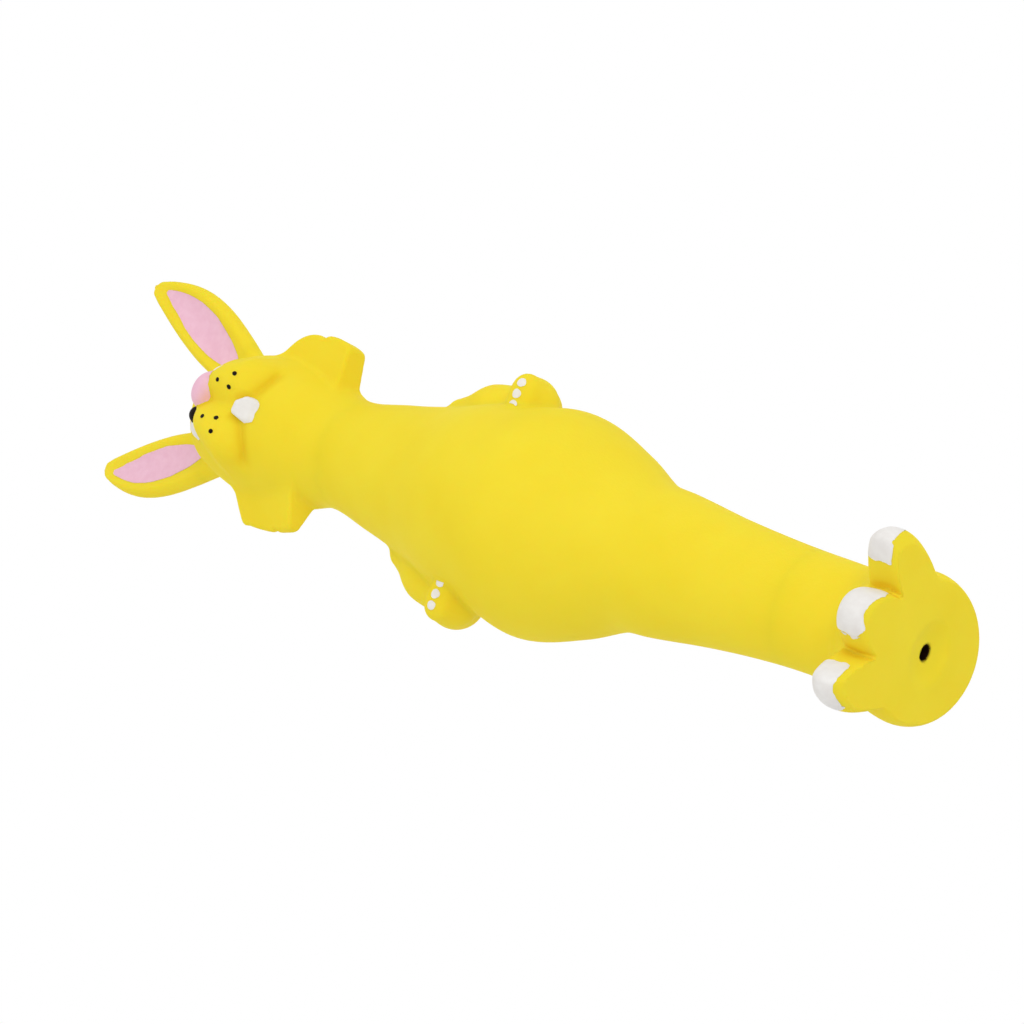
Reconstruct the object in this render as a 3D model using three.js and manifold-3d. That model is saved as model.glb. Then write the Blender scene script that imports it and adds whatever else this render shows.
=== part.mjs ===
// Squeaky dog toy: a standing latex rabbit with long ears, a soft belly and a squeaker in its foot.
// Millimetres, +Z up from the sole, the face looks along -Y, the rabbit's own left side is +X.
import * as THREE from "three";
import { mergeVertices } from "three/addons/utils/BufferGeometryUtils.js";
import Module from "manifold-3d";

// Skin
const skinWall = 2;
const headWall = 7;
const seamGap = 0.3;
const cutOverrun = 4;

// Leg, belly and chest: rise above the station below, half width, depth in front and behind
const legBottomHeight = 17;
const legBottomHalfWidth = 11.3;
const legBottomFront = 11.3;
const legBottomBack = 11.7;
const ankleRise = 10;
const ankleHalfWidth = 11.5;
const ankleFront = 11.2;
const ankleBack = 11.6;
const shinRise = 18;
const shinHalfWidth = 12.9;
const shinFront = 12.6;
const shinBack = 12.6;
const kneeRise = 15;
const kneeHalfWidth = 14.9;
const kneeFront = 14.8;
const kneeBack = 14.2;
const creaseRise = 6;
const creaseHalfWidth = 15.5;
const creaseFront = 16.2;
const creaseBack = 15.4;
const hipRise = 10;
const hipHalfWidth = 20.0;
const hipFront = 21.4;
const hipBack = 18;
const bellyRise = 15;
const bellyHalfWidth = 24.2;
const bellyFront = 26.5;
const bellyBack = 20.5;
const waistRise = 17;
const waistHalfWidth = 21.6;
const waistFront = 24;
const waistBack = 19;
const chestRise = 14;
const chestHalfWidth = 17.9;
const chestFront = 18.8;
const chestBack = 16.4;
const breastRise = 15;
const breastHalfWidth = 14.8;
const breastFront = 15;
const breastBack = 14.4;
const neckRise = 18;
const neckHalfWidth = 12.8;
const neckFront = 13.6;
const neckBack = 13;

// Belly panel that gives way when the toy is squeezed
const panelDrop = 1;
const panelHalfWidth = 14;
const panelHalfHeight = 17;

// Skull: rise above the station below, half width, depth in front and behind
const jawRise = 8;
const jawHalfWidth = 15.2;
const jawFront = 18.2;
const jawBack = 15.6;
const cheekRise = 10;
const cheekHalfWidth = 17;
const cheekFront = 19;
const cheekBack = 17.2;
const browRise = 11;
const browHalfWidth = 15.6;
const browFront = 16.8;
const browBack = 16.4;
const foreheadRise = 7;
const foreheadHalfWidth = 13.6;
const foreheadFront = 13.8;
const foreheadBack = 13.4;
const crownRise = 6;
const crownFlatShare = 0.4;

// Muzzle: two whisker pads, the nose between them and one front tooth
const padSpread = 5.6;
const padForward = 13.6;
const padRise = 21.4;
const padHalfWidth = 6.8;
const padDepth = 9;
const padHalfHeight = 9.2;
const padTiltAngle = 15;
const noseSide = 1.5;
const noseForward = 19;
const noseRise = 27.4;
const noseHalfWidth = 4.3;
const noseDepth = 4.2;
const noseHalfHeight = 3.5;
const toothForward = 19.8;
const toothRise = 13.2;
const toothHalfWidth = 3.2;
const toothDepth = 3;
const toothHalfHeight = 3.7;

// Eyes: a white oval on each side of the nose with the pupil at its inner end
const eyeSpread = 5.4;
const eyeForward = 12.4;
const eyeRise = 31.4;
const eyeHalfWidth = 3.6;
const eyeDepth = 3.2;
const eyeHalfHeight = 3.6;
const pupilSpread = 4;
const pupilForward = 15.3;
const pupilRise = 31.9;
const pupilHalfWidth = 1.9;
const pupilDepth = 1.9;
const pupilHalfHeight = 2.6;

// Cheek fur: a thick tuft on each side of the head with lobes on its outer edge
const tuftRootSpread = 9;
const tuftSpread = 23;
const tuftHeight = 26.4;
const tuftBottomRise = 2.6;
const tuftThickness = 11.8;
const tuftBack = 3.3;
const tuftRound = 1.8;
const lobeDepth = 0.6;
const lobeCount = 3;

// Ears: long leaves with a cupped front, hinged on a rounded root that sits in the crown
const earRootSpread = 9.5;
const earRootRise = 38;
const earRootBack = 2;
const earRootRadius = 3;
const earLength = 42.4;
const earHalfWidth = 7.3;
const earThickness = 5.4;
const earHollow = 1.6;
const earBow = 1.6;
const leftEarSplayAngle = 18.5;
const rightEarSplayAngle = 18;
const leftEarLeanAngle = 5;
const rightEarLeanAngle = -6;
const earSwingAngle = 30;
const earNotchReach = 10.4;
const liningThickness = 0.6;
const liningShift = 0.7;
const liningStart = 5;
const liningEnd = 37;

// Arms: path from the shoulder over the elbow to the paw in front, mirrored on the other side
const shoulderSpread = 15;
const shoulderRise = 7;
const shoulderBack = 0.6;
const shoulderRadius = 4;
const elbowInset = 0.3;
const elbowRise = 0.3;
const elbowBack = 1;
const elbowRadius = 6;
const wristOutset = 0.8;
const wristDrop = 4;
const wristForward = 5.6;
const wristRadius = 5.4;
const fingerReach = 4.8;
const fingerRadius = 2.9;
const fingerPitch = 2.5;
const fingerDrop = 0.8;
const clawRadius = 1;

// Foot: an oval sole, three toes that fan out in front with clefts between them, and white nails
const soleHalfWidth = 14.2;
const soleFront = 18;
const soleHeel = 19.6;
const soleRimHeight = 3;
const soleRimInset = 1.4;
const instepHeight = 8.4;
const instepHalfWidth = 13;
const instepFront = 16;
const instepBack = 16.4;
const vampHeight = 12;
const vampHalfWidth = 11.6;
const vampFront = 12.6;
const vampBack = 13;
const outerToeReach = 27.6;
const outerToeAngle = 29.8;
const outerToeInnerAngle = 8.5;
const outerToeOuterAngle = 38;
const middleToeReach = 24.4;
const middleToeAngle = 19.5;
const toeTurnAngle = 2.5;
const toeTopHeight = 7.6;
const nailThickness = 0.7;
const nailSpan = 9.2;
const nailBottom = 0.5;

// Air hole in a dimple under the foot, and the pocket above it that holds the squeaker
const airHoleRadius = 1.7;
const dimpleRadius = 3.8;
const dimpleDepth = 1;
const airHoleSide = 0.5;
const airHoleBack = 1.4;
const pocketRadius = 9.5;
const pocketHeight = 7.7;
const pocketMouthRadius = 8.3;

// Squeaker: cup, reed plate, reed and lid with vents
const cupWall = 1;
const cupHeight = 7;
const cupFloor = 1;
const cupLedge = 1.5;
const chamberHeight = 1.1;
const cupHoleRadius = 1.7;
const reedPlateThickness = 0.8;
const reedLength = 8;
const reedWidth = 2.6;
const reedThickness = 0.4;
const reedFreeSpace = 0.3;
const lidThickness = 1;
const lidSkirt = 0.9;
const ventRadius = 0.9;
const ventRingRadius = 4;
const ventCount = 4;

// Facets
const sides = 26;
const innerSides = 20;
const smallSides = 12;
const roundSides = 18;
const ballSides = 16;
const armSides = 12;
const fingerSides = 9;
const armRings = 7;
const fingerRings = 1;
const capRings = 3;
const panelCurveSteps = 10;
const notchCurveSteps = 8;
const earSides = 16;
const earRootRings = 4;
const earBladeRings = 13;
const liningRings = 10;
const liningSteps = 4;
const lobeSteps = 5;
const tuftLayers = 6;
const weldDistance = 0.0001;

// Heights above the sole, each counted up from the one below
const ankleHeight = legBottomHeight + ankleRise;
const shinHeight = ankleHeight + shinRise;
const kneeHeight = shinHeight + kneeRise;
const creaseHeight = kneeHeight + creaseRise;
const hipHeight = creaseHeight + hipRise;
const bellyHeight = hipHeight + bellyRise;
const waistHeight = bellyHeight + waistRise;
const chestHeight = waistHeight + chestRise;
const breastHeight = chestHeight + breastRise;
const neckHeight = breastHeight + neckRise;
const jawHeight = neckHeight + jawRise;
const cheekHeight = jawHeight + cheekRise;
const browHeight = cheekHeight + browRise;
const foreheadHeight = browHeight + foreheadRise;
const crownHeight = foreheadHeight + crownRise;
const padHeight = neckHeight + padRise;
const noseHeight = neckHeight + noseRise;
const toothHeight = neckHeight + toothRise;
const eyeHeight = neckHeight + eyeRise;
const pupilHeight = neckHeight + pupilRise;
const tuftBottomHeight = neckHeight + tuftBottomRise;
const earRootHeight = neckHeight + earRootRise;
const tuftTopHeight = tuftBottomHeight + tuftHeight;
const panelHeight = bellyHeight - panelDrop;
const shoulderHeight = chestHeight + shoulderRise;
const elbowHeight = waistHeight + elbowRise;
const wristHeight = waistHeight - wristDrop;
const elbowSpread = waistHalfWidth - elbowInset;
const wristSpread = waistHalfWidth + wristOutset;

const latexYellow = new THREE.MeshStandardMaterial({ color: 0xf3dc3b, roughness: 0.62, metalness: 0 });
const paintPink = new THREE.MeshStandardMaterial({ color: 0xf1c3d6, roughness: 0.6, metalness: 0 });
const paintWhite = new THREE.MeshStandardMaterial({ color: 0xf2eeea, roughness: 0.55, metalness: 0 });
const paintBlack = new THREE.MeshStandardMaterial({ color: 0x181410, roughness: 0.5, metalness: 0 });
const fibreWhite = new THREE.MeshStandardMaterial({ color: 0xf4f2ee, roughness: 1, metalness: 0 });
const plasticWhite = new THREE.MeshStandardMaterial({ color: 0xe9e9e4, roughness: 0.4, metalness: 0 });
const reedClear = new THREE.MeshStandardMaterial({ color: 0xd8d6c8, roughness: 0.25, metalness: 0 });

const wasm = await Module();
wasm.setup();

const rabbit = new THREE.Group();
rabbit.name = "squeaky_rabbit";

// Solids from meshes and back
function toSolid(geometry) {
  const bare = geometry.clone();
  bare.deleteAttribute("normal");
  bare.deleteAttribute("uv");
  const merged = mergeVertices(bare, weldDistance);
  return new wasm.Manifold(
    new wasm.Mesh({
      numProp: 3,
      vertProperties: new Float32Array(merged.attributes.position.array),
      triVerts: new Uint32Array(merged.index.array),
    }),
  );
}

function toGeometry(solid) {
  const mesh = solid.getMesh();
  const geometry = new THREE.BufferGeometry();
  geometry.setAttribute("position", new THREE.BufferAttribute(new Float32Array(mesh.vertProperties), 3));
  geometry.setIndex(new THREE.BufferAttribute(new Uint32Array(mesh.triVerts), 1));
  geometry.computeVertexNormals();
  return geometry;
}

function add(name, geometry, material) {
  const mesh = new THREE.Mesh(geometry, material);
  mesh.name = name;
  rabbit.add(mesh);
  return mesh;
}

// A closed body through rings of equal counts, each turning left as seen from where the rings run to
function loft(rings) {
  const count = rings[0].length;
  const points = rings.flat();
  const first = new THREE.Vector3();
  const last = new THREE.Vector3();
  for (let j = 0; j < count; j += 1) {
    first.add(rings[0][j]);
    last.add(rings[rings.length - 1][j]);
  }
  points.push(first.divideScalar(count), last.divideScalar(count));
  const index = [];
  for (let j = 0; j < count; j += 1) {
    const next = (j + 1) % count;
    for (let i = 0; i < rings.length - 1; i += 1) {
      const low = i * count;
      const high = low + count;
      index.push(low + j, low + next, high + next, low + j, high + next, high + j);
    }
    const top = (rings.length - 1) * count;
    index.push(points.length - 2, next, j);
    index.push(points.length - 1, top + j, top + next);
  }
  const geometry = new THREE.BufferGeometry();
  geometry.setFromPoints(points);
  geometry.setIndex(index);
  return geometry;
}

// Upright form from stations of [height, half width, front, back], with a skin taken off where asked
function stationCurve(stations) {
  const heights = stations.map((station) => station[0]);
  const values = stations.flatMap((station) => station.slice(1));
  return new THREE.CubicInterpolant(heights, values, 3, new Float32Array(3));
}

function uprightRing(curve, height, inset, count) {
  const [halfWidth, front, back] = curve.evaluate(height);
  const ring = [];
  for (let j = 0; j < count; j += 1) {
    const angle = (2 * Math.PI * j) / count;
    const depth = Math.sin(angle) < 0 ? front : back;
    ring.push(
      new THREE.Vector3(
        (halfWidth - inset) * Math.cos(angle),
        (depth - inset) * Math.sin(angle),
        height,
      ),
    );
  }
  return ring;
}

function upright(curve, bottom, top, inset, ringCount, sideCount) {
  const rings = [];
  for (let i = 0; i <= ringCount; i += 1) {
    const height = THREE.MathUtils.lerp(bottom, top, i / ringCount);
    rings.push(uprightRing(curve, height, inset, sideCount));
  }
  return rings;
}

function ellipsoid(centre, radii, across = roundSides) {
  const ball = new THREE.SphereGeometry(1, across, across / 2);
  ball.rotateX(Math.PI / 2);
  ball.scale(radii.x, radii.y, radii.z);
  ball.translate(centre.x, centre.y, centre.z);
  return ball;
}

function grown(radii, gap) {
  return new THREE.Vector3(radii.x + gap, radii.y + gap, radii.z + gap);
}

// A limb with round ends along a smooth path
function limb(points, radii, ringCount, sideCount) {
  const path = new THREE.CatmullRomCurve3(points, false, "centripetal");
  const places = points.map((point, i) => i / (points.length - 1));
  const width = new THREE.CubicInterpolant(places, radii, 1, new Float32Array(1));
  const rings = [];
  const side = new THREE.Vector3();
  const up = new THREE.Vector3();
  const reference = new THREE.Vector3(1, 0, 0);
  function ring(centre, tangent, radius) {
    side.copy(reference).addScaledVector(tangent, -reference.dot(tangent)).normalize();
    up.crossVectors(tangent, side);
    const round = [];
    for (let j = 0; j < sideCount; j += 1) {
      const angle = (2 * Math.PI * j) / sideCount;
      const point = centre.clone();
      point.addScaledVector(side, radius * Math.cos(angle));
      point.addScaledVector(up, radius * Math.sin(angle));
      round.push(point);
    }
    rings.push(round);
  }
  const start = path.getTangent(0);
  const end = path.getTangent(1);
  const firstRadius = radii[0];
  const lastRadius = radii[radii.length - 1];
  for (let i = 1; i < capRings; i += 1) {
    const turn = (Math.PI / 2) * (i / capRings);
    ring(
      points[0].clone().addScaledVector(start, -firstRadius * Math.cos(turn)),
      start,
      firstRadius * Math.sin(turn),
    );
  }
  for (let i = 0; i <= ringCount; i += 1) {
    const share = i / ringCount;
    ring(path.getPoint(share), path.getTangent(share), width.evaluate(share)[0]);
  }
  for (let i = capRings - 1; i > 0; i -= 1) {
    const turn = (Math.PI / 2) * (i / capRings);
    ring(
      points[points.length - 1].clone().addScaledVector(end, lastRadius * Math.cos(turn)),
      end,
      lastRadius * Math.sin(turn),
    );
  }
  return loft(rings);
}

function turned(points, sideCount) {
  const profile = points.map(([radius, height]) => new THREE.Vector2(radius, height));
  const lathe = new THREE.LatheGeometry(profile, sideCount);
  lathe.rotateX(Math.PI / 2);
  return lathe;
}

// Body: leg, belly and chest in one hollow skin
const bodyCurve = stationCurve([
  [legBottomHeight, legBottomHalfWidth, legBottomFront, legBottomBack],
  [ankleHeight, ankleHalfWidth, ankleFront, ankleBack],
  [shinHeight, shinHalfWidth, shinFront, shinBack],
  [kneeHeight, kneeHalfWidth, kneeFront, kneeBack],
  [creaseHeight, creaseHalfWidth, creaseFront, creaseBack],
  [hipHeight, hipHalfWidth, hipFront, hipBack],
  [bellyHeight, bellyHalfWidth, bellyFront, bellyBack],
  [waistHeight, waistHalfWidth, waistFront, waistBack],
  [chestHeight, chestHalfWidth, chestFront, chestBack],
  [breastHeight, breastHalfWidth, breastFront, breastBack],
  [neckHeight, neckHalfWidth, neckFront, neckBack],
]);
const bodyRings = 24;
const bodyInnerRings = 14;
const bodyOuter = toSolid(
  loft(upright(bodyCurve, legBottomHeight + seamGap, neckHeight - seamGap, 0, bodyRings, sides)),
);
const bodyInnerRingList = upright(
  bodyCurve,
  legBottomHeight + seamGap,
  neckHeight - seamGap,
  skinWall,
  bodyInnerRings,
  innerSides,
);
const lowMouth = bodyInnerRingList[0].map((point) => point.clone().setZ(point.z - cutOverrun));
const highMouth = bodyInnerRingList[bodyInnerRings].map((point) => point.clone().setZ(point.z + cutOverrun));
const bodyInner = toSolid(loft([lowMouth, ...bodyInnerRingList, highMouth]));
const bodyShell = bodyOuter.subtract(bodyInner);

function panelCutter(growth) {
  const outline = new THREE.Shape();
  outline.absellipse(0, 0, panelHalfWidth + growth, panelHalfHeight + growth, 0, 2 * Math.PI);
  const reach = bellyFront + cutOverrun;
  const prism = new THREE.ExtrudeGeometry(outline, {
    depth: reach,
    bevelEnabled: false,
    curveSegments: panelCurveSteps,
  });
  prism.rotateX(Math.PI / 2);
  prism.translate(0, 0, panelHeight);
  return toSolid(prism);
}

const bodySolid = bodyShell.subtract(panelCutter(seamGap));
const panelSolid = bodyShell.intersect(panelCutter(0));
add("body", toGeometry(bodySolid), latexYellow);
add("belly", toGeometry(panelSolid), latexYellow);

// What an arm or the head must stay clear of: the body grown by the seam gap
const bodyGrown = toSolid(loft(upright(bodyCurve, legBottomHeight, neckHeight, -seamGap, bodyRings, sides)));

function mirrored(geometry) {
  const bare = geometry.clone();
  bare.deleteAttribute("normal");
  bare.deleteAttribute("uv");
  const flipped = mergeVertices(bare, weldDistance);
  flipped.scale(-1, 1, 1);
  const index = flipped.index.array;
  for (let i = 0; i < index.length; i += 3) {
    const keep = index[i + 1];
    index[i + 1] = index[i + 2];
    index[i + 2] = keep;
  }
  return flipped;
}

// Head: skull with a rounded crown, whisker pads, nose, tooth, eyes and cheek tufts
const headCurve = stationCurve([
  [neckHeight, neckHalfWidth, neckFront, neckBack],
  [jawHeight, jawHalfWidth, jawFront, jawBack],
  [cheekHeight, cheekHalfWidth, cheekFront, cheekBack],
  [browHeight, browHalfWidth, browFront, browBack],
  [foreheadHeight, foreheadHalfWidth, foreheadFront, foreheadBack],
]);
const headRings = 7;
const crownRings = 3;

function skull(inset, growth, sideCount) {
  const shoulder = foreheadHeight - inset;
  const rings = upright(headCurve, neckHeight, shoulder, inset - growth, headRings, sideCount);
  const last = rings[rings.length - 1];
  const rise = crownHeight - foreheadHeight + growth;
  const fullTurn = Math.acos(crownFlatShare);
  for (let i = 1; i <= crownRings; i += 1) {
    const turn = (fullTurn * i) / crownRings;
    const lift = (rise * Math.sin(turn)) / Math.sin(fullTurn);
    const shrink = Math.cos(turn);
    rings.push(
      last.map((point) => new THREE.Vector3(point.x * shrink, point.y * shrink, shoulder + lift)),
    );
  }
  return rings;
}

// One cheek tuft: its outline from below to above, drawn in by the rounding of its two faces
const tuftHeightShares = [0, 0.09, 0.24, 0.38, 0.47, 0.55, 0.63, 0.72, 0.85, 1];
const tuftSpreadShares = [0.8, 0.9, 0.96, 1, 1, 0.98, 0.87, 0.73, 0.52, 0.29];
const tuftThinShare = 0.24;
const tuftCurve = new THREE.CubicInterpolant(tuftHeightShares, tuftSpreadShares, 1, new Float32Array(1));
const tuftMiddle = tuftBack - tuftThickness / 2;

function tuftRing(inset, place) {
  const steps = lobeSteps * lobeCount;
  const bottom = tuftBottomHeight + inset;
  const top = tuftTopHeight - inset;
  const ring = [];
  function addPoint(spread, height) {
    const share = (spread - tuftRootSpread) / (tuftSpread - tuftRootSpread);
    const thin = THREE.MathUtils.lerp(1, tuftThinShare, share);
    ring.push(new THREE.Vector3(spread, tuftMiddle + place * thin, height));
  }
  addPoint(tuftRootSpread, bottom);
  for (let i = 0; i <= steps; i += 1) {
    const share = i / steps;
    const spread = THREE.MathUtils.lerp(tuftRootSpread, tuftSpread, tuftCurve.evaluate(share)[0]);
    const notch = lobeDepth * (1 - Math.abs(Math.sin(Math.PI * lobeCount * share)));
    addPoint(spread - inset - notch, THREE.MathUtils.lerp(bottom, top, share));
  }
  addPoint(tuftRootSpread, top);
  return ring;
}

function tuft() {
  const rings = [];
  for (let i = 0; i <= tuftLayers; i += 1) {
    const place = tuftThickness * (0.5 - i / tuftLayers);
    const beyond = Math.max(0, Math.abs(place) - (tuftThickness / 2 - tuftRound));
    const inset = tuftRound - Math.sqrt(tuftRound ** 2 - beyond ** 2);
    rings.push(tuftRing(inset, place));
  }
  return loft(rings);
}

const skullSolid = toSolid(loft(skull(0, 0, sides)));
const skullHollow = skull(headWall, 0, innerSides);
const headMouth = skullHollow[0].map((point) => point.clone().setZ(point.z - cutOverrun));
const hollowSolid = toSolid(loft([headMouth, ...skullHollow]));
const padRadii = new THREE.Vector3(padHalfWidth, padDepth, padHalfHeight);
const noseRadii = new THREE.Vector3(noseHalfWidth, noseDepth, noseHalfHeight);
const toothRadii = new THREE.Vector3(toothHalfWidth, toothDepth, toothHalfHeight);
const eyeRadii = new THREE.Vector3(eyeHalfWidth, eyeDepth, eyeHalfHeight);
const pupilRadii = new THREE.Vector3(pupilHalfWidth, pupilDepth, pupilHalfHeight);
const noseCentre = new THREE.Vector3(noseSide, -noseForward, noseHeight);
const toothCentre = new THREE.Vector3(0, -toothForward, toothHeight);
const gapRadii = (radii) => grown(radii, seamGap);

let headForm = skullSolid;
headForm = headForm.add(toSolid(tuft())).add(toSolid(mirrored(tuft())));
for (const side of [1, -1]) {
  const pad = ellipsoid(new THREE.Vector3(), padRadii);
  pad.rotateY(-side * THREE.MathUtils.degToRad(padTiltAngle));
  pad.translate(side * padSpread, -padForward, padHeight);
  headForm = headForm.add(toSolid(pad));
}
headForm = headForm.subtract(hollowSolid);

const eyeSolids = [];
for (const side of [1, -1]) {
  const eyeCentre = new THREE.Vector3(side * eyeSpread, -eyeForward, eyeHeight);
  const pupilCentre = new THREE.Vector3(side * pupilSpread, -pupilForward, pupilHeight);
  const eye = toSolid(ellipsoid(eyeCentre, eyeRadii, ballSides)).subtract(
    toSolid(ellipsoid(pupilCentre, gapRadii(pupilRadii), smallSides)),
  );
  headForm = headForm.subtract(toSolid(ellipsoid(eyeCentre, gapRadii(eyeRadii), ballSides)));
  headForm = headForm.subtract(toSolid(ellipsoid(pupilCentre, gapRadii(pupilRadii), smallSides)));
  eyeSolids.push({ side, eye, pupil: ellipsoid(pupilCentre, pupilRadii, smallSides) });
}
const noseGap = toSolid(ellipsoid(noseCentre, gapRadii(noseRadii), ballSides));
headForm = headForm.subtract(noseGap);
headForm = headForm.subtract(toSolid(ellipsoid(toothCentre, gapRadii(toothRadii), ballSides)));
add("nose", ellipsoid(noseCentre, noseRadii, ballSides), paintPink);
add("tooth", ellipsoid(toothCentre, toothRadii, ballSides), paintWhite);
for (const { side, eye, pupil } of eyeSolids) {
  const name = side > 0 ? "left" : "right";
  add(`eye_${name}`, toGeometry(eye.subtract(noseGap)), paintWhite);
  add(`pupil_${name}`, toGeometry(toSolid(pupil).subtract(noseGap)), paintBlack);
}

// Ears in their own frame: across, thickness, and length from the hinge
const earStationShares = [0, 0.2, 0.45, 0.66, 0.83, 0.94, 1];
const earWidthShares = [0.7, 0.9, 1, 0.88, 0.62, 0.4, 0.2];
const earThicknessShares = [1.1, 1.04, 1, 0.94, 0.8, 0.62, 0.34];
const earHollowShares = [0.1, 0.85, 1, 0.95, 0.7, 0.3, 0];
const hollowWidthShare = 0.74;
const liningWidthShare = 0.54;
const liningSlantShares = [-1, 0.8];
const liningTipShare = 0.03;
const liningRoundShare = 0.45;
const earFlatShare = 0.55;
const earBowShare = 1.6;
const oneValue = () => new Float32Array(1);
const earWidthCurve = new THREE.CubicInterpolant(earStationShares, earWidthShares, 1, oneValue());
const earThickCurve = new THREE.CubicInterpolant(earStationShares, earThicknessShares, 1, oneValue());
const earHollowCurve = new THREE.CubicInterpolant(earStationShares, earHollowShares, 1, oneValue());

function earShape(along) {
  const share = THREE.MathUtils.clamp(along / earLength, 0, 1);
  const rootHalf = Math.sqrt(Math.max(0, earRootRadius ** 2 - Math.min(0, along) ** 2));
  const blade = (earThickness / 2) * earThickCurve.evaluate(share)[0];
  return {
    halfWidth: earHalfWidth * earWidthCurve.evaluate(share)[0],
    half: along > 0 ? blade : rootHalf,
    hollow: earHollow * earHollowCurve.evaluate(share)[0],
    bow: earBow * Math.sin(Math.PI * share ** earBowShare),
  };
}

function earFront(shape, across) {
  const flat = Math.sqrt(Math.max(0, 1 - across * across));
  const cup = Math.max(0, 1 - (across / hollowWidthShare) ** 2);
  return -shape.half * flat ** earFlatShare + shape.hollow * cup * cup;
}

function earRing(along) {
  const shape = earShape(along);
  const ring = [];
  for (let j = 0; j < earSides; j += 1) {
    const angle = (2 * Math.PI * j) / earSides;
    const across = Math.cos(angle);
    const depth = Math.sin(angle) > 0 ? shape.half * Math.sin(angle) : earFront(shape, across);
    ring.push(new THREE.Vector3(shape.bow + shape.halfWidth * across, depth, along));
  }
  return ring;
}

function earGeometry() {
  const rings = [];
  for (let i = 1; i <= earRootRings; i += 1) {
    rings.push(earRing(-earRootRadius * Math.cos((Math.PI / 2) * (i / earRootRings))));
  }
  for (let i = 1; i <= earBladeRings; i += 1) {
    rings.push(earRing((earLength * i) / earBladeRings));
  }
  return loft(rings);
}

function liningGeometry() {
  const rings = [];
  for (let i = 0; i <= liningRings; i += 1) {
    const place = i / liningRings;
    const along = THREE.MathUtils.lerp(liningStart, liningEnd, place);
    const shape = earShape(along);
    const turn = Math.PI * THREE.MathUtils.lerp(liningTipShare, 1 - liningTipShare, place);
    const taper = Math.sin(turn) ** liningRoundShare;
    const span = liningWidthShare * taper;
    const slant = THREE.MathUtils.lerp(...liningSlantShares, along / earLength);
    const shift = (liningShift * slant) / shape.halfWidth;
    const back = [];
    const front = [];
    for (let j = 0; j <= liningSteps; j += 1) {
      const across = shift + span * (1 - (2 * j) / liningSteps);
      const seat = earFront(shape, across) - seamGap;
      const x = shape.bow + shape.halfWidth * across;
      back.push(new THREE.Vector3(x, seat, along));
      front.unshift(new THREE.Vector3(x, seat - liningThickness, along));
    }
    rings.push([...back, ...front]);
  }
  return loft(rings);
}

// The notch in the crown that lets an ear swing about its root
function earNotch(lean) {
  const radius = earRootRadius + seamGap;
  const swing = THREE.MathUtils.degToRad(earSwingAngle + Math.abs(lean));
  const reach = earNotchReach;
  const low = new THREE.Vector2(radius * Math.cos(swing), -radius * Math.sin(swing));
  const far = new THREE.Vector2(low.x + reach * Math.sin(swing), low.y + reach * Math.cos(swing));
  const outline = new THREE.Shape();
  outline.moveTo(low.x, low.y);
  outline.lineTo(far.x, far.y);
  outline.lineTo(-far.x, far.y);
  outline.lineTo(-low.x, low.y);
  outline.absarc(0, 0, radius, Math.PI + swing, 2 * Math.PI - swing, false);
  const half = earHalfWidth + seamGap;
  const prism = new THREE.ExtrudeGeometry(outline, {
    depth: 2 * half,
    bevelEnabled: false,
    curveSegments: notchCurveSteps,
  });
  prism.translate(0, 0, -half);
  prism.rotateX(Math.PI / 2);
  prism.rotateZ(Math.PI / 2);
  return prism;
}

for (const side of [1, -1]) {
  const name = side > 0 ? "left" : "right";
  const lean = side > 0 ? leftEarLeanAngle : rightEarLeanAngle;
  const splay = side > 0 ? leftEarSplayAngle : rightEarSplayAngle;
  const holder = new THREE.Group();
  holder.position.set(side * earRootSpread, earRootBack, earRootHeight);
  holder.rotation.set(
    THREE.MathUtils.degToRad(lean),
    side * THREE.MathUtils.degToRad(splay),
    0,
    "YXZ",
  );
  holder.updateMatrixWorld(true);
  const notchPlace = new THREE.Object3D();
  notchPlace.position.copy(holder.position);
  notchPlace.rotation.y = holder.rotation.y;
  notchPlace.updateMatrixWorld(true);
  headForm = headForm.subtract(toSolid(earNotch(lean).applyMatrix4(notchPlace.matrixWorld)));
  const ear = side > 0 ? earGeometry() : mirrored(earGeometry());
  const lining = side > 0 ? liningGeometry() : mirrored(liningGeometry());
  const earMesh = new THREE.Mesh(ear, latexYellow);
  earMesh.name = `ear_${name}`;
  const liningMesh = new THREE.Mesh(lining, paintPink);
  liningMesh.name = `ear_lining_${name}`;
  holder.add(earMesh, liningMesh);
  rabbit.add(holder);
}
add("head", toGeometry(headForm), latexYellow);

// Arms with three fingers and a claw on each
const shoulder = new THREE.Vector3(shoulderSpread, shoulderBack, shoulderHeight);
const elbow = new THREE.Vector3(elbowSpread, elbowBack, elbowHeight);
const wrist = new THREE.Vector3(wristSpread, -wristForward, wristHeight);
const armRadii = [shoulderRadius, elbowRadius, wristRadius];
let arm = toSolid(limb([shoulder, elbow, wrist], armRadii, armRings, armSides));
const claws = [];
for (let i = -1; i <= 1; i += 1) {
  const knuckle = wrist.clone().add(new THREE.Vector3((i * fingerPitch) / 2, 0, 0));
  const tip = wrist.clone().add(new THREE.Vector3(i * fingerPitch, -fingerReach, -fingerDrop));
  arm = arm.add(toSolid(limb([knuckle, tip], [fingerRadius, fingerRadius], fingerRings, fingerSides)));
  claws.push(tip.clone().add(new THREE.Vector3(0, -fingerRadius, 0)));
}
arm = arm.subtract(bodyGrown);
const clawRadii = new THREE.Vector3(clawRadius, clawRadius, clawRadius);
const clawSolids = claws.map((centre) => {
  arm = arm.subtract(toSolid(ellipsoid(centre, gapRadii(clawRadii), smallSides)));
  return toSolid(ellipsoid(centre, clawRadii, smallSides)).subtract(bodyGrown);
});
for (const name of ["left", "right"]) {
  const sided = (solid) => (name === "left" ? toGeometry(solid) : mirrored(toGeometry(solid)));
  clawSolids.forEach((claw, i) => add(`claw_${name}_${i + 1}`, sided(claw), paintWhite));
  add(`arm_${name}`, sided(arm), latexYellow);
}

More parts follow.
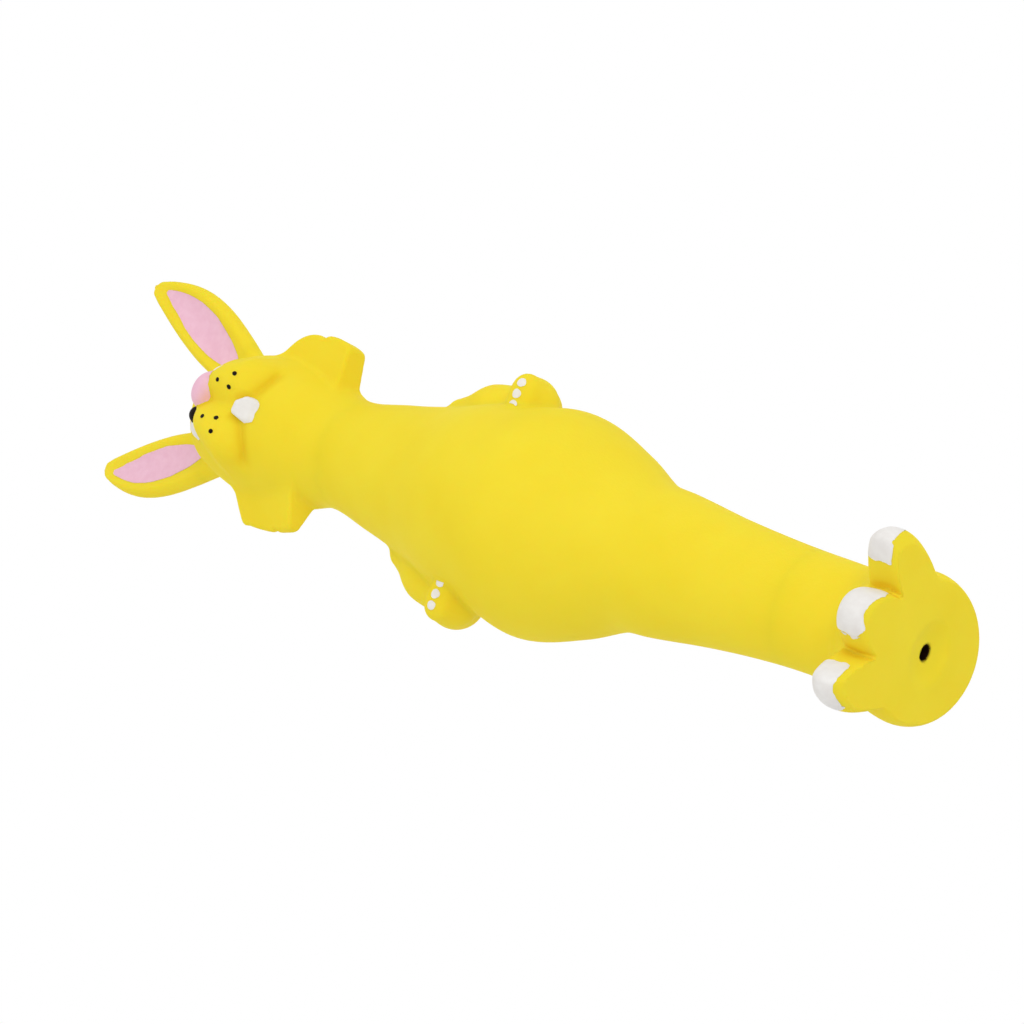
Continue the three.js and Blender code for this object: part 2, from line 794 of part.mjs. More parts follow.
// Foot with its toes, dimple, air hole and squeaker pocket
const footCurve = stationCurve([
  [0, soleHalfWidth, soleFront, soleHeel],
  [soleRimHeight, soleHalfWidth, soleFront, soleHeel],
  [instepHeight, instepHalfWidth, instepFront, instepBack],
  [vampHeight, vampHalfWidth, vampFront, vampBack],
  [legBottomHeight, legBottomHalfWidth, legBottomFront, legBottomBack],
]);
const footSides = 44;
const toeCrowdShare = 0.34;
const toeHeightShares = [0, 0.16, 0.4, 0.62, 0.8, 0.92, 1];
const toeFullShares = [0.86, 0.97, 1, 0.96, 0.82, 0.5, 0];
const toeFullCurve = new THREE.CubicInterpolant(toeHeightShares, toeFullShares, 1, oneValue());

// How far the toes stand out of the oval, by the turn in degrees from straight ahead
function toeLobe(turn, base) {
  const away = Math.abs(turn - toeTurnAngle);
  const middle = Math.max(0, Math.cos((Math.PI / 2) * Math.min(1, away / middleToeAngle)));
  const off = away - outerToeAngle;
  const range = off < 0 ? outerToeInnerAngle : outerToeOuterAngle;
  const bump = Math.max(0, Math.cos((Math.PI / 2) * Math.min(1, Math.abs(off) / range)));
  const outer = off < 0 ? bump : bump * bump;
  return Math.max(middle * (middleToeReach - base), outer * (outerToeReach - base), 0);
}

function footRing(height, growth) {
  const level = Math.max(height, 0);
  const [halfWidth, front, back] = footCurve.evaluate(level);
  const rim = Math.min(1, level / soleRimHeight);
  const inset = soleRimInset * (1 - Math.sqrt(1 - (1 - rim) ** 2)) - growth;
  const share = level / toeTopHeight;
  const full = share < 1 ? Math.max(0, toeFullCurve.evaluate(share)[0]) : 0;
  const ring = [];
  for (let j = 0; j < footSides; j += 1) {
    const part = j / footSides;
    const even = 360 * part;
    const crowd = THREE.MathUtils.radToDeg(toeCrowdShare * Math.sin(2 * Math.PI * part));
    const turn = THREE.MathUtils.euclideanModulo(even - crowd + 180, 360) - 180;
    const angle = THREE.MathUtils.degToRad(turn - 90);
    const depth = Math.sin(angle) < 0 ? front : back;
    const base = 1 / Math.hypot(Math.cos(angle) / halfWidth, Math.sin(angle) / depth);
    const reach = base + full * toeLobe(turn, base) - inset;
    ring.push(new THREE.Vector3(reach * Math.cos(angle), reach * Math.sin(angle), height));
  }
  return ring;
}

const footLevels = [];
const rimRings = 3;
for (let i = 0; i < rimRings; i += 1) {
  footLevels.push(soleRimHeight * (1 - Math.cos((Math.PI / 2) * (i / rimRings))));
}
const toeRings = 5;
for (let i = 0; i < toeRings; i += 1) {
  footLevels.push(THREE.MathUtils.lerp(soleRimHeight, toeTopHeight, i / toeRings));
}
const vampRings = 5;
for (let i = 0; i <= vampRings; i += 1) {
  footLevels.push(THREE.MathUtils.lerp(toeTopHeight, legBottomHeight, i / vampRings));
}
const footForm = (growth) => toSolid(loft(footLevels.map((level) => footRing(level, growth))));
let foot = footForm(0);
const footClear = footForm(seamGap);
const nailForm = footForm(seamGap + nailThickness);
const toes = [
  { name: "left", turn: toeTurnAngle + outerToeAngle, reach: outerToeReach },
  { name: "middle", turn: toeTurnAngle, reach: middleToeReach },
  { name: "right", turn: toeTurnAngle - outerToeAngle, reach: outerToeReach },
];
for (const { name, turn, reach } of toes) {
  const zone = new THREE.BoxGeometry(nailSpan, nailSpan, toeTopHeight);
  zone.translate(0, -reach, nailBottom + toeTopHeight / 2);
  zone.rotateZ(THREE.MathUtils.degToRad(turn));
  add(`nail_${name}`, toGeometry(nailForm.subtract(footClear).intersect(toSolid(zone))), paintWhite);
}

const pocketFloor = dimpleDepth + skinWall;
const pocketTop = pocketFloor + pocketHeight;
const pocketOpenTop = legBottomHeight + cutOverrun;
const pocket = turned(
  [
    [0, pocketFloor],
    [pocketRadius, pocketFloor],
    [pocketRadius, pocketTop],
    [pocketMouthRadius, pocketTop + pocketRadius - pocketMouthRadius],
    [pocketMouthRadius, pocketOpenTop],
    [0, pocketOpenTop],
  ],
  roundSides,
);
const airWay = turned(
  [
    [0, -cutOverrun],
    [dimpleRadius, -cutOverrun],
    [dimpleRadius, 0],
    [airHoleRadius, dimpleDepth],
    [airHoleRadius, pocketFloor + cutOverrun],
    [0, pocketFloor + cutOverrun],
  ],
  roundSides,
);
pocket.translate(airHoleSide, airHoleBack, 0);
airWay.translate(airHoleSide, airHoleBack, 0);
foot = foot.subtract(toSolid(pocket)).subtract(toSolid(airWay));
add("foot", toGeometry(foot), latexYellow);

// Fibre filling of the body and of the head
const fillInset = skinWall + seamGap;
const bodyFill = upright(
  bodyCurve,
  legBottomHeight + seamGap,
  neckHeight - seamGap,
  fillInset,
  bodyInnerRings,
  innerSides,
);
add("filling_body", loft(bodyFill), fibreWhite);
add("filling_head", loft(skull(headWall + seamGap, 0, innerSides)), fibreWhite);

// Squeaker: a cup over the air hole, a plate on its ledge, the reed in the slot and a vented lid
const cupBottom = pocketFloor + seamGap;
const cupRadius = pocketRadius - seamGap;
const cupBore = cupRadius - cupWall;
const ledgeTop = cupFloor + chamberHeight;
const cup = turned(
  [
    [cupHoleRadius, 0],
    [cupRadius, 0],
    [cupRadius, cupHeight],
    [cupBore, cupHeight],
    [cupBore, ledgeTop],
    [cupBore - cupLedge, ledgeTop],
    [cupBore - cupLedge, cupFloor],
    [cupHoleRadius, cupFloor],
    [cupHoleRadius, 0],
  ],
  roundSides,
);
cup.translate(airHoleSide, airHoleBack, cupBottom);
add("squeaker_cup", cup, plasticWhite);

const plateRadius = cupBore - seamGap;
const plateBottom = ledgeTop + seamGap;
const plateTop = plateBottom + reedPlateThickness;
const plateDisc = turned(
  [
    [0, plateBottom],
    [plateRadius, plateBottom],
    [plateRadius, plateTop],
    [0, plateTop],
  ],
  roundSides,
);
const slotWidth = reedWidth + 2 * reedFreeSpace;
const slotLength = reedLength + 2 * reedFreeSpace;
const slot = new THREE.BoxGeometry(slotWidth, slotLength, reedPlateThickness + 2 * cutOverrun);
slot.translate(0, 0, (plateBottom + plateTop) / 2);
const plate = toGeometry(toSolid(plateDisc).subtract(toSolid(slot)));
plate.translate(airHoleSide, airHoleBack, cupBottom);
add("reed_plate", plate, plasticWhite);

const reedMesh = add("reed", new THREE.BoxGeometry(reedWidth, reedLength, reedThickness), reedClear);
reedMesh.position.set(airHoleSide, airHoleBack, cupBottom + (plateBottom + plateTop) / 2);

const lidBottom = plateTop + seamGap;
const lidBore = plateRadius - lidSkirt;
let lid = toSolid(
  turned(
    [
      [0, cupHeight - lidThickness],
      [lidBore, cupHeight - lidThickness],
      [lidBore, lidBottom],
      [plateRadius, lidBottom],
      [plateRadius, cupHeight],
      [0, cupHeight],
    ],
    roundSides,
  ),
);
for (let i = 0; i < ventCount; i += 1) {
  const vent = new THREE.CylinderGeometry(ventRadius, ventRadius, lidThickness + 2 * cutOverrun, smallSides);
  vent.rotateX(Math.PI / 2);
  const angle = (2 * Math.PI * i) / ventCount;
  const ventHeight = cupHeight - lidThickness / 2;
  vent.translate(ventRingRadius * Math.cos(angle), ventRingRadius * Math.sin(angle), ventHeight);
  lid = lid.subtract(toSolid(vent));
}
const lidMesh = toGeometry(lid);
lidMesh.translate(airHoleSide, airHoleBack, cupBottom);
add("squeaker_lid", lidMesh, plasticWhite);

// The toy stands with the middle of its outer box over the origin
const outerBox = new THREE.Box3().setFromObject(rabbit);
rabbit.position.y = -(outerBox.min.y + outerBox.max.y) / 2;

export default rabbit;
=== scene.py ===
# Looks of the squeaky latex rabbit: one smooth skin, its painted reliefs, the fibre filling and the
# squeaker. The shapes are worked out in millimetres, as the toy's sizes are, and every Blender object
# is in metres. A name that ends in _join is how far two forms run into each other.
import math

import bpy
import numpy as np
from mathutils import Matrix, Vector


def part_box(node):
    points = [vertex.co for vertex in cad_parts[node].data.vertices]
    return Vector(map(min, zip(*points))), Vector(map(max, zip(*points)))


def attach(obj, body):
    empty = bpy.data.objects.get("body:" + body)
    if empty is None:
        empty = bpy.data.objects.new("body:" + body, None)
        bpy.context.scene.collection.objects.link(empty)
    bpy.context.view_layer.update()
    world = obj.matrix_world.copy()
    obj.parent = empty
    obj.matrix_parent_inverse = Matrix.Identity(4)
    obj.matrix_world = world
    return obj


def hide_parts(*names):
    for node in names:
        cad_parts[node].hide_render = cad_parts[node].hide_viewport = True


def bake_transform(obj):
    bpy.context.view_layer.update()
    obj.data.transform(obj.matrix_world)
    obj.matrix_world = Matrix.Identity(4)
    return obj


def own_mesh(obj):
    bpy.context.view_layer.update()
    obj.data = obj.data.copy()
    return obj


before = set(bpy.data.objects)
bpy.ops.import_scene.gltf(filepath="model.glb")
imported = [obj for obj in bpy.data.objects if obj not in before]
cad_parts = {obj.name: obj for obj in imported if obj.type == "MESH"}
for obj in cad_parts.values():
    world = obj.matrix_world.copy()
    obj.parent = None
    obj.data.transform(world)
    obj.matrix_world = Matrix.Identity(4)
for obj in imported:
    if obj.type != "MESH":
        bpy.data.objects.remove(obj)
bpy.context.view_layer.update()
MM = 0.001
TINY = 1e-9

# The toy's own axis stands a little behind the middle of its outer box
reed_low, reed_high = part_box("reed")
axis_y = (reed_low.y + reed_high.y) / 2 / MM

# Leg, belly, chest and skull: height above the sole, half width, depth in front and behind
column_stations = np.array(
    [
        [17, 11.3, 11.3, 11.7],
        [27, 11.5, 11.2, 11.6],
        [45, 12.9, 12.6, 12.6],
        [60, 14.9, 14.8, 14.2],
        [66, 15.5, 16.2, 15.4],
        [76, 20.0, 21.4, 18.0],
        [91, 24.2, 26.5, 20.5],
        [100, 22.7, 25.6, 19.9],
        [108, 21.6, 24.0, 19.0],
        [122, 17.9, 18.8, 16.4],
        [137, 14.8, 15.0, 14.4],
        [155, 12.8, 13.6, 13.0],
        [163, 15.2, 17.8, 15.6],
        [173, 17.0, 19.0, 17.2],
        [184, 15.6, 16.8, 16.4],
        [191, 13.6, 13.8, 13.4],
        [198, 12.6, 12.6, 12.2],
    ]
)
# Keeps points clear of the column's own axis, where they have no direction
column_axis_shift = 1e-6
# How far the middle of the leg stands to the toy's left at these heights
lean_heights, lean_places = [10, 20, 35, 50, 68, 85], [0.6, 0.8, 0.7, 0.4, 0.1, 0]
# The skull closes within this rise above its start
crown_start = 191
crown_rise = 6.5

# Whisker pads: centre on the toy's left, radii, and how they lean and narrow above the shoulder
pad_centre, pad_radii, pad_power = (6.2, -13.4, 176.6), (6.8, 9.0, 9.3), 2.7
pad_shoulder, pad_lean, pad_narrowing, pad_least = 3, 0.2, 0.24, 1
# The pads run into each other, into the jaw, and further into the cheeks above and beside it
pad_join, jaw_join, cheek_join, cheek_share = 1.6, 0.5, 3.5, 0.6
cheek_low, cheek_high = 169, 176
# Lines of the mouth where the pads meet the jaw: depth and width, and where they fade out
crease_depth, crease_width = 0.3, 0.8
crease_low, crease_high, crease_inner, crease_outer = 168, 172, 9, 13
# Painted shade along them: its width, how far from the pads it may lie, and how far back it goes
mouth_shade_width, mouth_shade_reach, mouth_shade_front = 1.3, 2, -8

# Nose, tooth, eyes and pupils: centre on the toy's left and radii
nose_centre, nose_radii, nose_slant = (1.7, -19.0, 183.2), (4.3, 3.7, 2.5), 0.1
tooth_corners = [(-2.6, 168.0), (-1.7, 166.4), (0.1, 166.4), (2.3, 166.2)]
tooth_corners += [(3.1, 167.0), (3.2, 169.3), (1.4, 171.1), (-1.4, 171.2)]
tooth_height, tooth_front, tooth_slope = 168.6, -20.4, 0.6
tooth_edge, tooth_back = 1.2, -10
eye_centre, eye_radii = (5.4, -12.4, 186.4), (3.6, 3.2, 3.6)
pupil_centre, pupil_radii = (4.0, -15.1, 187.5), (1.9, 1.7, 1.8)
eye_join, pupil_join, nose_join, tooth_join = 0.5, 0.3, 0.9, 0.5
# Whisker dots: place across and height of each on the toy's left
dot_places = [(6.9, 173.8), (4.4, 177.9), (3.7, 174.2)]
dot_radius, dot_flatness, dot_far = 0.5, 0.9, 9.0

# Cheek fur: heights, how far it stands out there on each side, and its faces at tuft_root
tuft_bottom, tuft_top, tuft_root = 157.6, 184, 14
tuft_heights_left = [157, 160, 164, 167.5, 170, 172, 174.2, 176.7, 180, 184]
tuft_spreads_left = [21.8, 22.8, 23.2, 22.7, 22.4, 21.7, 20.2, 17.3, 13.5, 11.0]
tuft_heights_right = [157, 160, 164, 168, 171, 173.4, 174.6, 176.2, 178.5, 184]
tuft_spreads_right = [20.2, 21.3, 22.4, 22.9, 23.0, 22.9, 20.9, 17.7, 15.2, 12.5]
# Left and right: where the front and back faces lie at the root, and their slopes outwards
tuft_fronts, tuft_front_slopes = (-7.4, -7.4), (-0.08, 0.5)
tuft_backs, tuft_back_slopes = (0.4, 1.2), (-0.3, -0.33)
# Left and right: depth, height and half height of the small notch in the outline
tuft_notches = ((0.6, 166.6, 0.9), (0.5, 162.6, 0.6))
tuft_edge, tuft_face_edge, tuft_face_share, tuft_join = 1.0, 1.2, 0.9, 1.4

# Ears: root, lengths, sections along the blade as shares, and the turn of each ear in degrees
ear_root = (9.5, 2.0, 193.0)
ear_lengths, ear_half_width, ear_thickness = {"left": 42.4, "right": 43.5}, 7.3, 5.4
ear_hollow, ear_bow, ear_bow_power = 1.6, 1.6, 1.6
ear_stem, ear_cup_share, ear_cup_edge, ear_join = 3, 0.72, 0.9, 2.0
ear_share = [0, 0.2, 0.45, 0.66, 0.83, 0.94, 0.98, 1]
ear_width_share = [0.7, 0.9, 1, 0.88, 0.62, 0.37, 0.24, 0.1]
ear_thick_share = [1.1, 1.04, 1, 0.94, 0.8, 0.62, 0.48, 0.24]
ear_hollow_share = [0.1, 0.85, 1, 0.95, 0.7, 0.3, 0.1, 0.02]
ear_turns = {"left": (18.5, 5.0), "right": (18.0, -6.0)}

# Arms and paws on the toy's left
shoulder, middle = (16.0, 0.6, 126.6), (18.8, 0.4, 118)
elbow, wrist = (21.5, 0.6, 108.7), (22.1, -5.5, 104)
arm_radii = (3.7, 5.2, 5.7, 5.3)
upper_arm_join, forearm_join, shoulder_join = 3.0, 2.0, 1.4
finger_reach, finger_radius, finger_pitch, finger_drop = 4.9, 2.6, 2.5, 0.8
finger_taper, finger_join = 0.1, 2.6
claw_radius, claw_back, claw_drop, claw_rise, claw_join = 1.0, 0.9, 0.5, 0.15, 0.3

# Foot: height, half width, depth in front and behind, and the toes
foot_stations = np.array(
    [
        [0, 14.2, 18.0, 19.6],
        [3, 14.2, 18.0, 19.6],
        [8.4, 13.0, 16.0, 16.4],
        [12, 11.6, 12.6, 13.0],
        [17, 11.3, 11.3, 11.7],
    ]
)
# The sole's middle stands this far to the toy's left and behind
foot_side, foot_back = 0.6, 0.5
foot_overlap, ankle_start, ankle_draw, ankle_join = 2, 12.5, 0.4, 1.6
leg_start = 9
rim_height, rim_inset = 3, 1.4
toe_top = 7.6
toe_height_share = [0, 0.16, 0.4, 0.62, 0.8, 0.92, 1]
toe_full_share = [0.86, 0.97, 1, 0.96, 0.82, 0.5, 0]
outer_toe_reach, outer_toe_turn, outer_toe_inner, outer_toe_outer = 28.2, 29.8, 8.5, 38
middle_toe_reach, middle_toe_turn = 25.0, 19.5
toe_turn, toe_join = 2.5, 0.8
# Nails: turn, reach, how fast the white draws back and how far at most on the toy's left and right,
# widest turn, seed
nails = {
    "left": (toe_turn + outer_toe_turn, outer_toe_reach, (0.04, 0.95), (4.6, 4.6), 40, 9),
    "middle": (toe_turn, middle_toe_reach, (0.2, 0.3), (8.6, 2.8), 16.5, 10),
    "right": (toe_turn - outer_toe_turn, outer_toe_reach, (0.95, 0.15), (7.2, 4.5), 40, 13),
}
# White of a nail: its least reach below, its reach above, and the heights between which it changes
nail_lip, nail_top_reach, nail_low, nail_high = 0.8, 5.5, 1.2, 4.5
nail_side_blend, nail_turn_slope, nail_half_width, nail_floor = 2.5, 0.3, 7.4, 0.05

# Air hole, its dimple, and the pocket that holds the squeaker
hole_place = (0.5, 1.4)
hole_radius, dimple_radius, dimple_depth = 1.5, 4.8, 0.9
pocket_floor, pocket_top, pocket_radius = 3.0, 10.7, 9.5
hole_overlap, dimple_drop, dimple_join, pocket_join = 1, 0.4, 2.0, 0.3

# Paint: how far each colour grows past its relief, and where it ends
nose_paint_growth, pupil_paint_growth, eye_paint_growth = 0.2, 0.15, [0.1, 0.7, 0.7]
nose_clear, paint_gap = 0.3, 0.02
tooth_paint_growth, tooth_paint_back = 0.05, -15
claw_paint_ahead = 0.3
lining_start, lining_trim, lining_end, lining_taper_power = 4, 8.4, 4.8, 0.45
lining_width_share, lining_shift, lining_swing, lining_front = 0.56, 0.7, 1.3, -0.2
# Uneven edge of each colour: size of its waves, how far they move the edge, and their seed
uneven = {
    "nose": (2.5, 0.15, 1),
    "tooth": (3, 0.15, 2),
    "pupil": (2, 0.08, 3),
    "eye": (2.5, 0.12, 4),
    "lining": (5, 0.12, 11),
    "dots": (1.2, 0.06, 12),
    "fibre": (9, 0.5, 21),
}
# Claws and nails have a seed for each one
claw_uneven, first_claw_seed = (1.8, 0.1), 5
nail_uneven = (3, 0.3)

# Parts of the skin's field that hold only above, below or beside these places
foot_zone_top, head_zone_bottom = 32, 146
arm_zone_bottom, arm_zone_top, arm_zone_side = 90, 142, 7


def smooth_union(a, b, k):
    h = np.clip(0.5 + 0.5 * (b - a) / k, 0, 1)
    return b * (1 - h) + a * h - k * h * (1 - h)


def smooth_both(a, b, k):
    return -smooth_union(-a, -b, k)


def smooth_step(low, high, x):
    t = np.clip((x - low) / (high - low), 0, 1)
    return t * t * (3 - 2 * t)


def curve(x, places, values):
    """A smooth curve through values at places, held flat beyond both ends."""
    places, values = np.asarray(places, float), np.asarray(values, float)
    slopes = np.gradient(values, places)
    x = np.clip(x, places[0], places[-1])
    i = np.clip(np.searchsorted(places, x, side="right") - 1, 0, len(places) - 2)
    span = places[i + 1] - places[i]
    t = (x - places[i]) / span
    rise = values[i] * (1 + 2 * t) * (1 - t) ** 2 + values[i + 1] * t * t * (3 - 2 * t)
    return rise + span * (slopes[i] * t * (1 - t) ** 2 - slopes[i + 1] * t * t * (1 - t))


def width_front_back(z, stations):
    return (curve(z, stations[:, 0], stations[:, i]) for i in (1, 2, 3))


def ellipsoid_like(near, q, radii):
    """About the distance to a form of these radii, where near is 1 on its surface."""
    return near * (near - 1) / (np.linalg.norm(q / np.array(radii), axis=1) + TINY)


def ellipsoid(p, centre, radii):
    q = (p - np.array(centre)) / np.array(radii)
    return ellipsoid_like(np.linalg.norm(q, axis=1) + TINY, q, radii)


def bone(p, a, b, radius_a, radius_b):
    """A limb with round ends from a to b."""
    a, b = np.array(a, float), np.array(b, float)
    t = np.clip((p - a) @ (b - a) / ((b - a) @ (b - a)), 0, 1)
    return np.linalg.norm(p - a - t[:, None] * (b - a), axis=1) - radius_a - t * (radius_b - radius_a)


def mirrored(p):
    """Points brought over to the toy's left side."""
    return np.abs(p) * np.array([1, 0, 0]) + p * np.array([0, 1, 1])


def column(p):
    x, y, z = p[:, 0] + column_axis_shift, p[:, 1], p[:, 2]
    x = x - curve(z, lean_heights, lean_places)
    width, front, back = width_front_back(z, column_stations)
    depth = np.where(y < 0, front, back)
    far = np.hypot(x, y)
    reach = far / np.hypot(x / width, y / depth)
    over = np.maximum(z - crown_start, 0) / crown_rise
    return (np.hypot(far / reach, over) - 1) * reach


def toe_lobe(turn, base):
    """How far the toes stand out past the base at a turn about the toy's axis."""
    away = np.abs(turn - toe_turn)
    middle_share = np.cos(np.pi / 2 * np.minimum(1, away / middle_toe_turn))
    middle_toe = middle_share * (middle_toe_reach - base)
    off = away - outer_toe_turn
    side = np.where(off < 0, outer_toe_inner, outer_toe_outer)
    bump = np.cos(np.pi / 2 * np.minimum(1, np.abs(off) / side))
    outer_toe = np.where(off < 0, bump, bump * bump) * (outer_toe_reach - base)
    return smooth_both(np.maximum(middle_toe, 0), np.maximum(outer_toe, 0), toe_join)


def foot(p):
    z = p[:, 2]
    top = foot_stations[-1, 0]
    level = np.clip(z, 0, top)
    x, y = p[:, 0] - foot_side, p[:, 1] - foot_back * (1 - level / top)
    width, front, back = width_front_back(level, foot_stations)
    depth = np.where(y < 0, front, back)
    far = np.hypot(x, y)
    base = far / np.hypot(x / width, y / depth)
    turn = (np.degrees(np.arctan2(y, x)) + 270) % 360 - 180
    full = np.maximum(curve(level / toe_top, toe_height_share, toe_full_share), 0) * (level < toe_top)
    rim = np.minimum(1, level / rim_height)
    inset = rim_inset * (1 - np.sqrt(1 - (1 - rim) ** 2))
    side = far - (base + full * toe_lobe(turn, base) - inset)
    side = side + ankle_draw * np.maximum(z - ankle_start, 0)
    return np.maximum(np.maximum(side, -z), z - top - foot_overlap)


def tuft(p):
    """Fur that stands out as a flat flap beside each cheek."""
    x, y, z = np.abs(p[:, 0]), p[:, 1], p[:, 2]
    left = p[:, 0] > 0
    spread_left = curve(z, tuft_heights_left, tuft_spreads_left)
    spread_right = curve(z, tuft_heights_right, tuft_spreads_right)
    spread = np.where(left, spread_left, spread_right)
    notches = [deep * np.exp(-(((z - height) / half) ** 2)) for deep, height, half in tuft_notches]
    notch = np.where(left, *notches)
    outline = smooth_both(x - spread + notch, np.maximum(tuft_bottom - z, z - tuft_top), tuft_edge)
    out = x - tuft_root
    fronts = [place + slope * out for place, slope in zip(tuft_fronts, tuft_front_slopes)]
    backs = [place + slope * out for place, slope in zip(tuft_backs, tuft_back_slopes)]
    front, behind = np.where(left, *fronts), np.where(left, *backs)
    faces = tuft_face_share * smooth_both(front - y, y - behind, tuft_face_edge)
    return smooth_both(outline, faces, tuft_edge)


def ear_frame(side):
    """The ear's place and its own axes: across, through its thickness, and along the blade."""
    splay, lean = (math.radians(v) for v in ear_turns[side])
    sign = 1 if side == "left" else -1
    c, s = math.cos(splay), sign * math.sin(splay)
    about_y = np.array([[c, 0, s], [0, 1, 0], [-s, 0, c]])
    c, s = math.cos(lean), math.sin(lean)
    about_x = np.array([[1, 0, 0], [0, c, -s], [0, s, c]])
    axes = about_y @ about_x
    axes[:, 0] *= sign
    return np.array([sign * ear_root[0], ear_root[1], ear_root[2]]), axes


def ear_parts(p, side):
    """Points in the ear's own frame, their share of its length, and its section there."""
    root, axes = ear_frame(side)
    q = (p - root) @ axes
    share = np.clip(q[:, 2] / ear_lengths[side], 0, 1)
    half_width = ear_half_width * curve(share, ear_share, ear_width_share)
    half = ear_thickness / 2 * curve(share, ear_share, ear_thick_share)
    across = q[:, 0] - ear_bow * np.sin(np.pi * share**ear_bow_power)
    return q, share, half_width, half, across


def ear(p, side):
    """A leaf with a round rim and a cupped front."""
    q, share, half_width, half, across = ear_parts(p, side)
    round_rim = np.minimum(half, half_width)
    flat = np.maximum(np.abs(across) - (half_width - round_rim), 0)
    beyond = np.maximum(q[:, 2] - ear_lengths[side], 0)
    below = np.maximum(-q[:, 2] - ear_stem, 0)
    blade = np.sqrt(flat**2 + q[:, 1] ** 2 + beyond**2 + below**2) - round_rim
    deep = ear_hollow * curve(share, ear_share, ear_hollow_share)
    wide = ear_cup_share * half_width
    bend = (wide**2 + deep**2) / (2 * deep)
    cup = np.hypot(across, q[:, 1] + half - deep + bend) - bend
    return smooth_both(blade, -cup, ear_cup_edge)


def paw_tips():
    """Knuckle and tip of each finger of the left paw."""
    for i in (-1, 0, 1):
        knuckle = np.array(wrist) + [i * finger_pitch / 2, 0, 0]
        tip = np.array(wrist) + [i * finger_pitch, -finger_reach, -finger_drop]
        yield knuckle, tip


def arm(p):
    left = mirrored(p)
    upper_arm = smooth_union(
        bone(left, shoulder, middle, arm_radii[0], arm_radii[1]),
        bone(left, middle, elbow, arm_radii[1], arm_radii[2]),
        upper_arm_join,
    )
    form = smooth_union(upper_arm, bone(left, elbow, wrist, arm_radii[2], arm_radii[3]), forearm_join)
    for knuckle, tip in paw_tips():
        finger = bone(left, knuckle, tip, finger_radius, finger_radius - finger_taper)
        form = smooth_union(form, finger, finger_join)
    for _, tip in paw_tips():
        claw = tip + [0, claw_back - finger_radius, -claw_drop]
        claw_form = np.linalg.norm(left - claw, axis=1) - claw_radius - claw_rise
        form = smooth_union(form, claw_form, claw_join)
    return form


def pad(p):
    """A whisker pad with a nearly straight lower edge, narrower above."""
    over = np.maximum(p[:, 2] - pad_centre[2] + pad_shoulder, 0)
    q = (p - np.array(pad_centre)) / np.array(pad_radii)
    half_width = np.maximum(pad_radii[0] - pad_narrowing * over, pad_least)
    q[:, 0] = (p[:, 0] - pad_centre[0] + pad_lean * over) / half_width
    flat = (np.abs(q[:, 0]) ** pad_power + np.abs(q[:, 2]) ** pad_power) ** (1 / pad_power)
    return ellipsoid_like(np.hypot(flat, q[:, 1]) + TINY, q, pad_radii)


def both_pads(left):
    return smooth_union(pad(left), pad(left * [-1, 1, 1]), pad_join)


def nose(p, growth=0.0):
    """An oval a little lower on the toy's left."""
    q = p - np.array(nose_centre)
    q[:, 2] += nose_slant * q[:, 0]
    return ellipsoid(q, (0, 0, 0), np.array(nose_radii) + growth)


def pupil(p, growth=0.0):
    """The pupil on the toy's left."""
    return ellipsoid(p, pupil_centre, np.array(pupil_radii) + growth)


def corners_apart(p, corners):
    """Distance across and up to a polygon seen from in front, negative inside."""
    points = p[:, [0, 2]]
    ring = np.array(corners, float)
    best = np.full(len(p), 1e9)
    inside = np.zeros(len(p), bool)
    for a, b in zip(ring, np.roll(ring, -1, 0)):
        along, to = b - a, points - a
        t = np.clip(to @ along / (along @ along), 0, 1)
        best = np.minimum(best, np.linalg.norm(to - t[:, None] * along, axis=1))
        level = (points[:, 1] < a[1]) != (points[:, 1] < b[1])
        cut = a[0] + (points[:, 1] - a[1]) * (b[0] - a[0]) / (b[1] - a[1] if b[1] != a[1] else 1)
        inside ^= level & (points[:, 0] < cut)
    return np.where(inside, -best, best)


def tooth(p):
    """A low flat relief with a rounded edge."""
    front = tooth_front - tooth_slope * (p[:, 2] - tooth_height) - p[:, 1]
    front = front / math.hypot(1, tooth_slope)
    relief = smooth_both(corners_apart(p, tooth_corners), front, tooth_edge)
    return np.maximum(relief, p[:, 1] - tooth_back)


def mouth_shade(p):
    """Painted shade along the lines where the whisker pads meet the jaw: 1 there, 0 away from them."""
    left = mirrored(p)
    pads = both_pads(left)
    near = np.exp(-(((pads - column(p)) / mouth_shade_width) ** 2)) * (np.abs(pads) < mouth_shade_reach)
    above = smooth_step(crease_low, crease_high, p[:, 2])
    outer = smooth_step(crease_inner, crease_outer, left[:, 0])
    return near * (1 - above) * (1 - outer) * (p[:, 1] < mouth_shade_front)


def head_features(p, form):
    left = mirrored(p)
    z = p[:, 2]
    form = smooth_union(form, tuft(p), tuft_join)
    pads = both_pads(left)
    outer = smooth_step(crease_inner, crease_outer, left[:, 0])
    soft = jaw_join + cheek_join * np.maximum(smooth_step(cheek_low, cheek_high, z), cheek_share * outer)
    crease = crease_depth * np.exp(-(((pads - form) / crease_width) ** 2))
    crease = crease * (1 - smooth_step(crease_low, crease_high, z)) * (1 - outer)
    form = smooth_union(form, pads, soft) + crease
    form = smooth_union(form, ellipsoid(left, eye_centre, eye_radii), eye_join)
    form = smooth_union(form, pupil(left), pupil_join)
    form = smooth_union(form, nose(p), nose_join)
    form = smooth_union(form, tooth(p), tooth_join)
    for side in ("left", "right"):
        form = smooth_union(form, ear(p, side), ear_join)
    return form


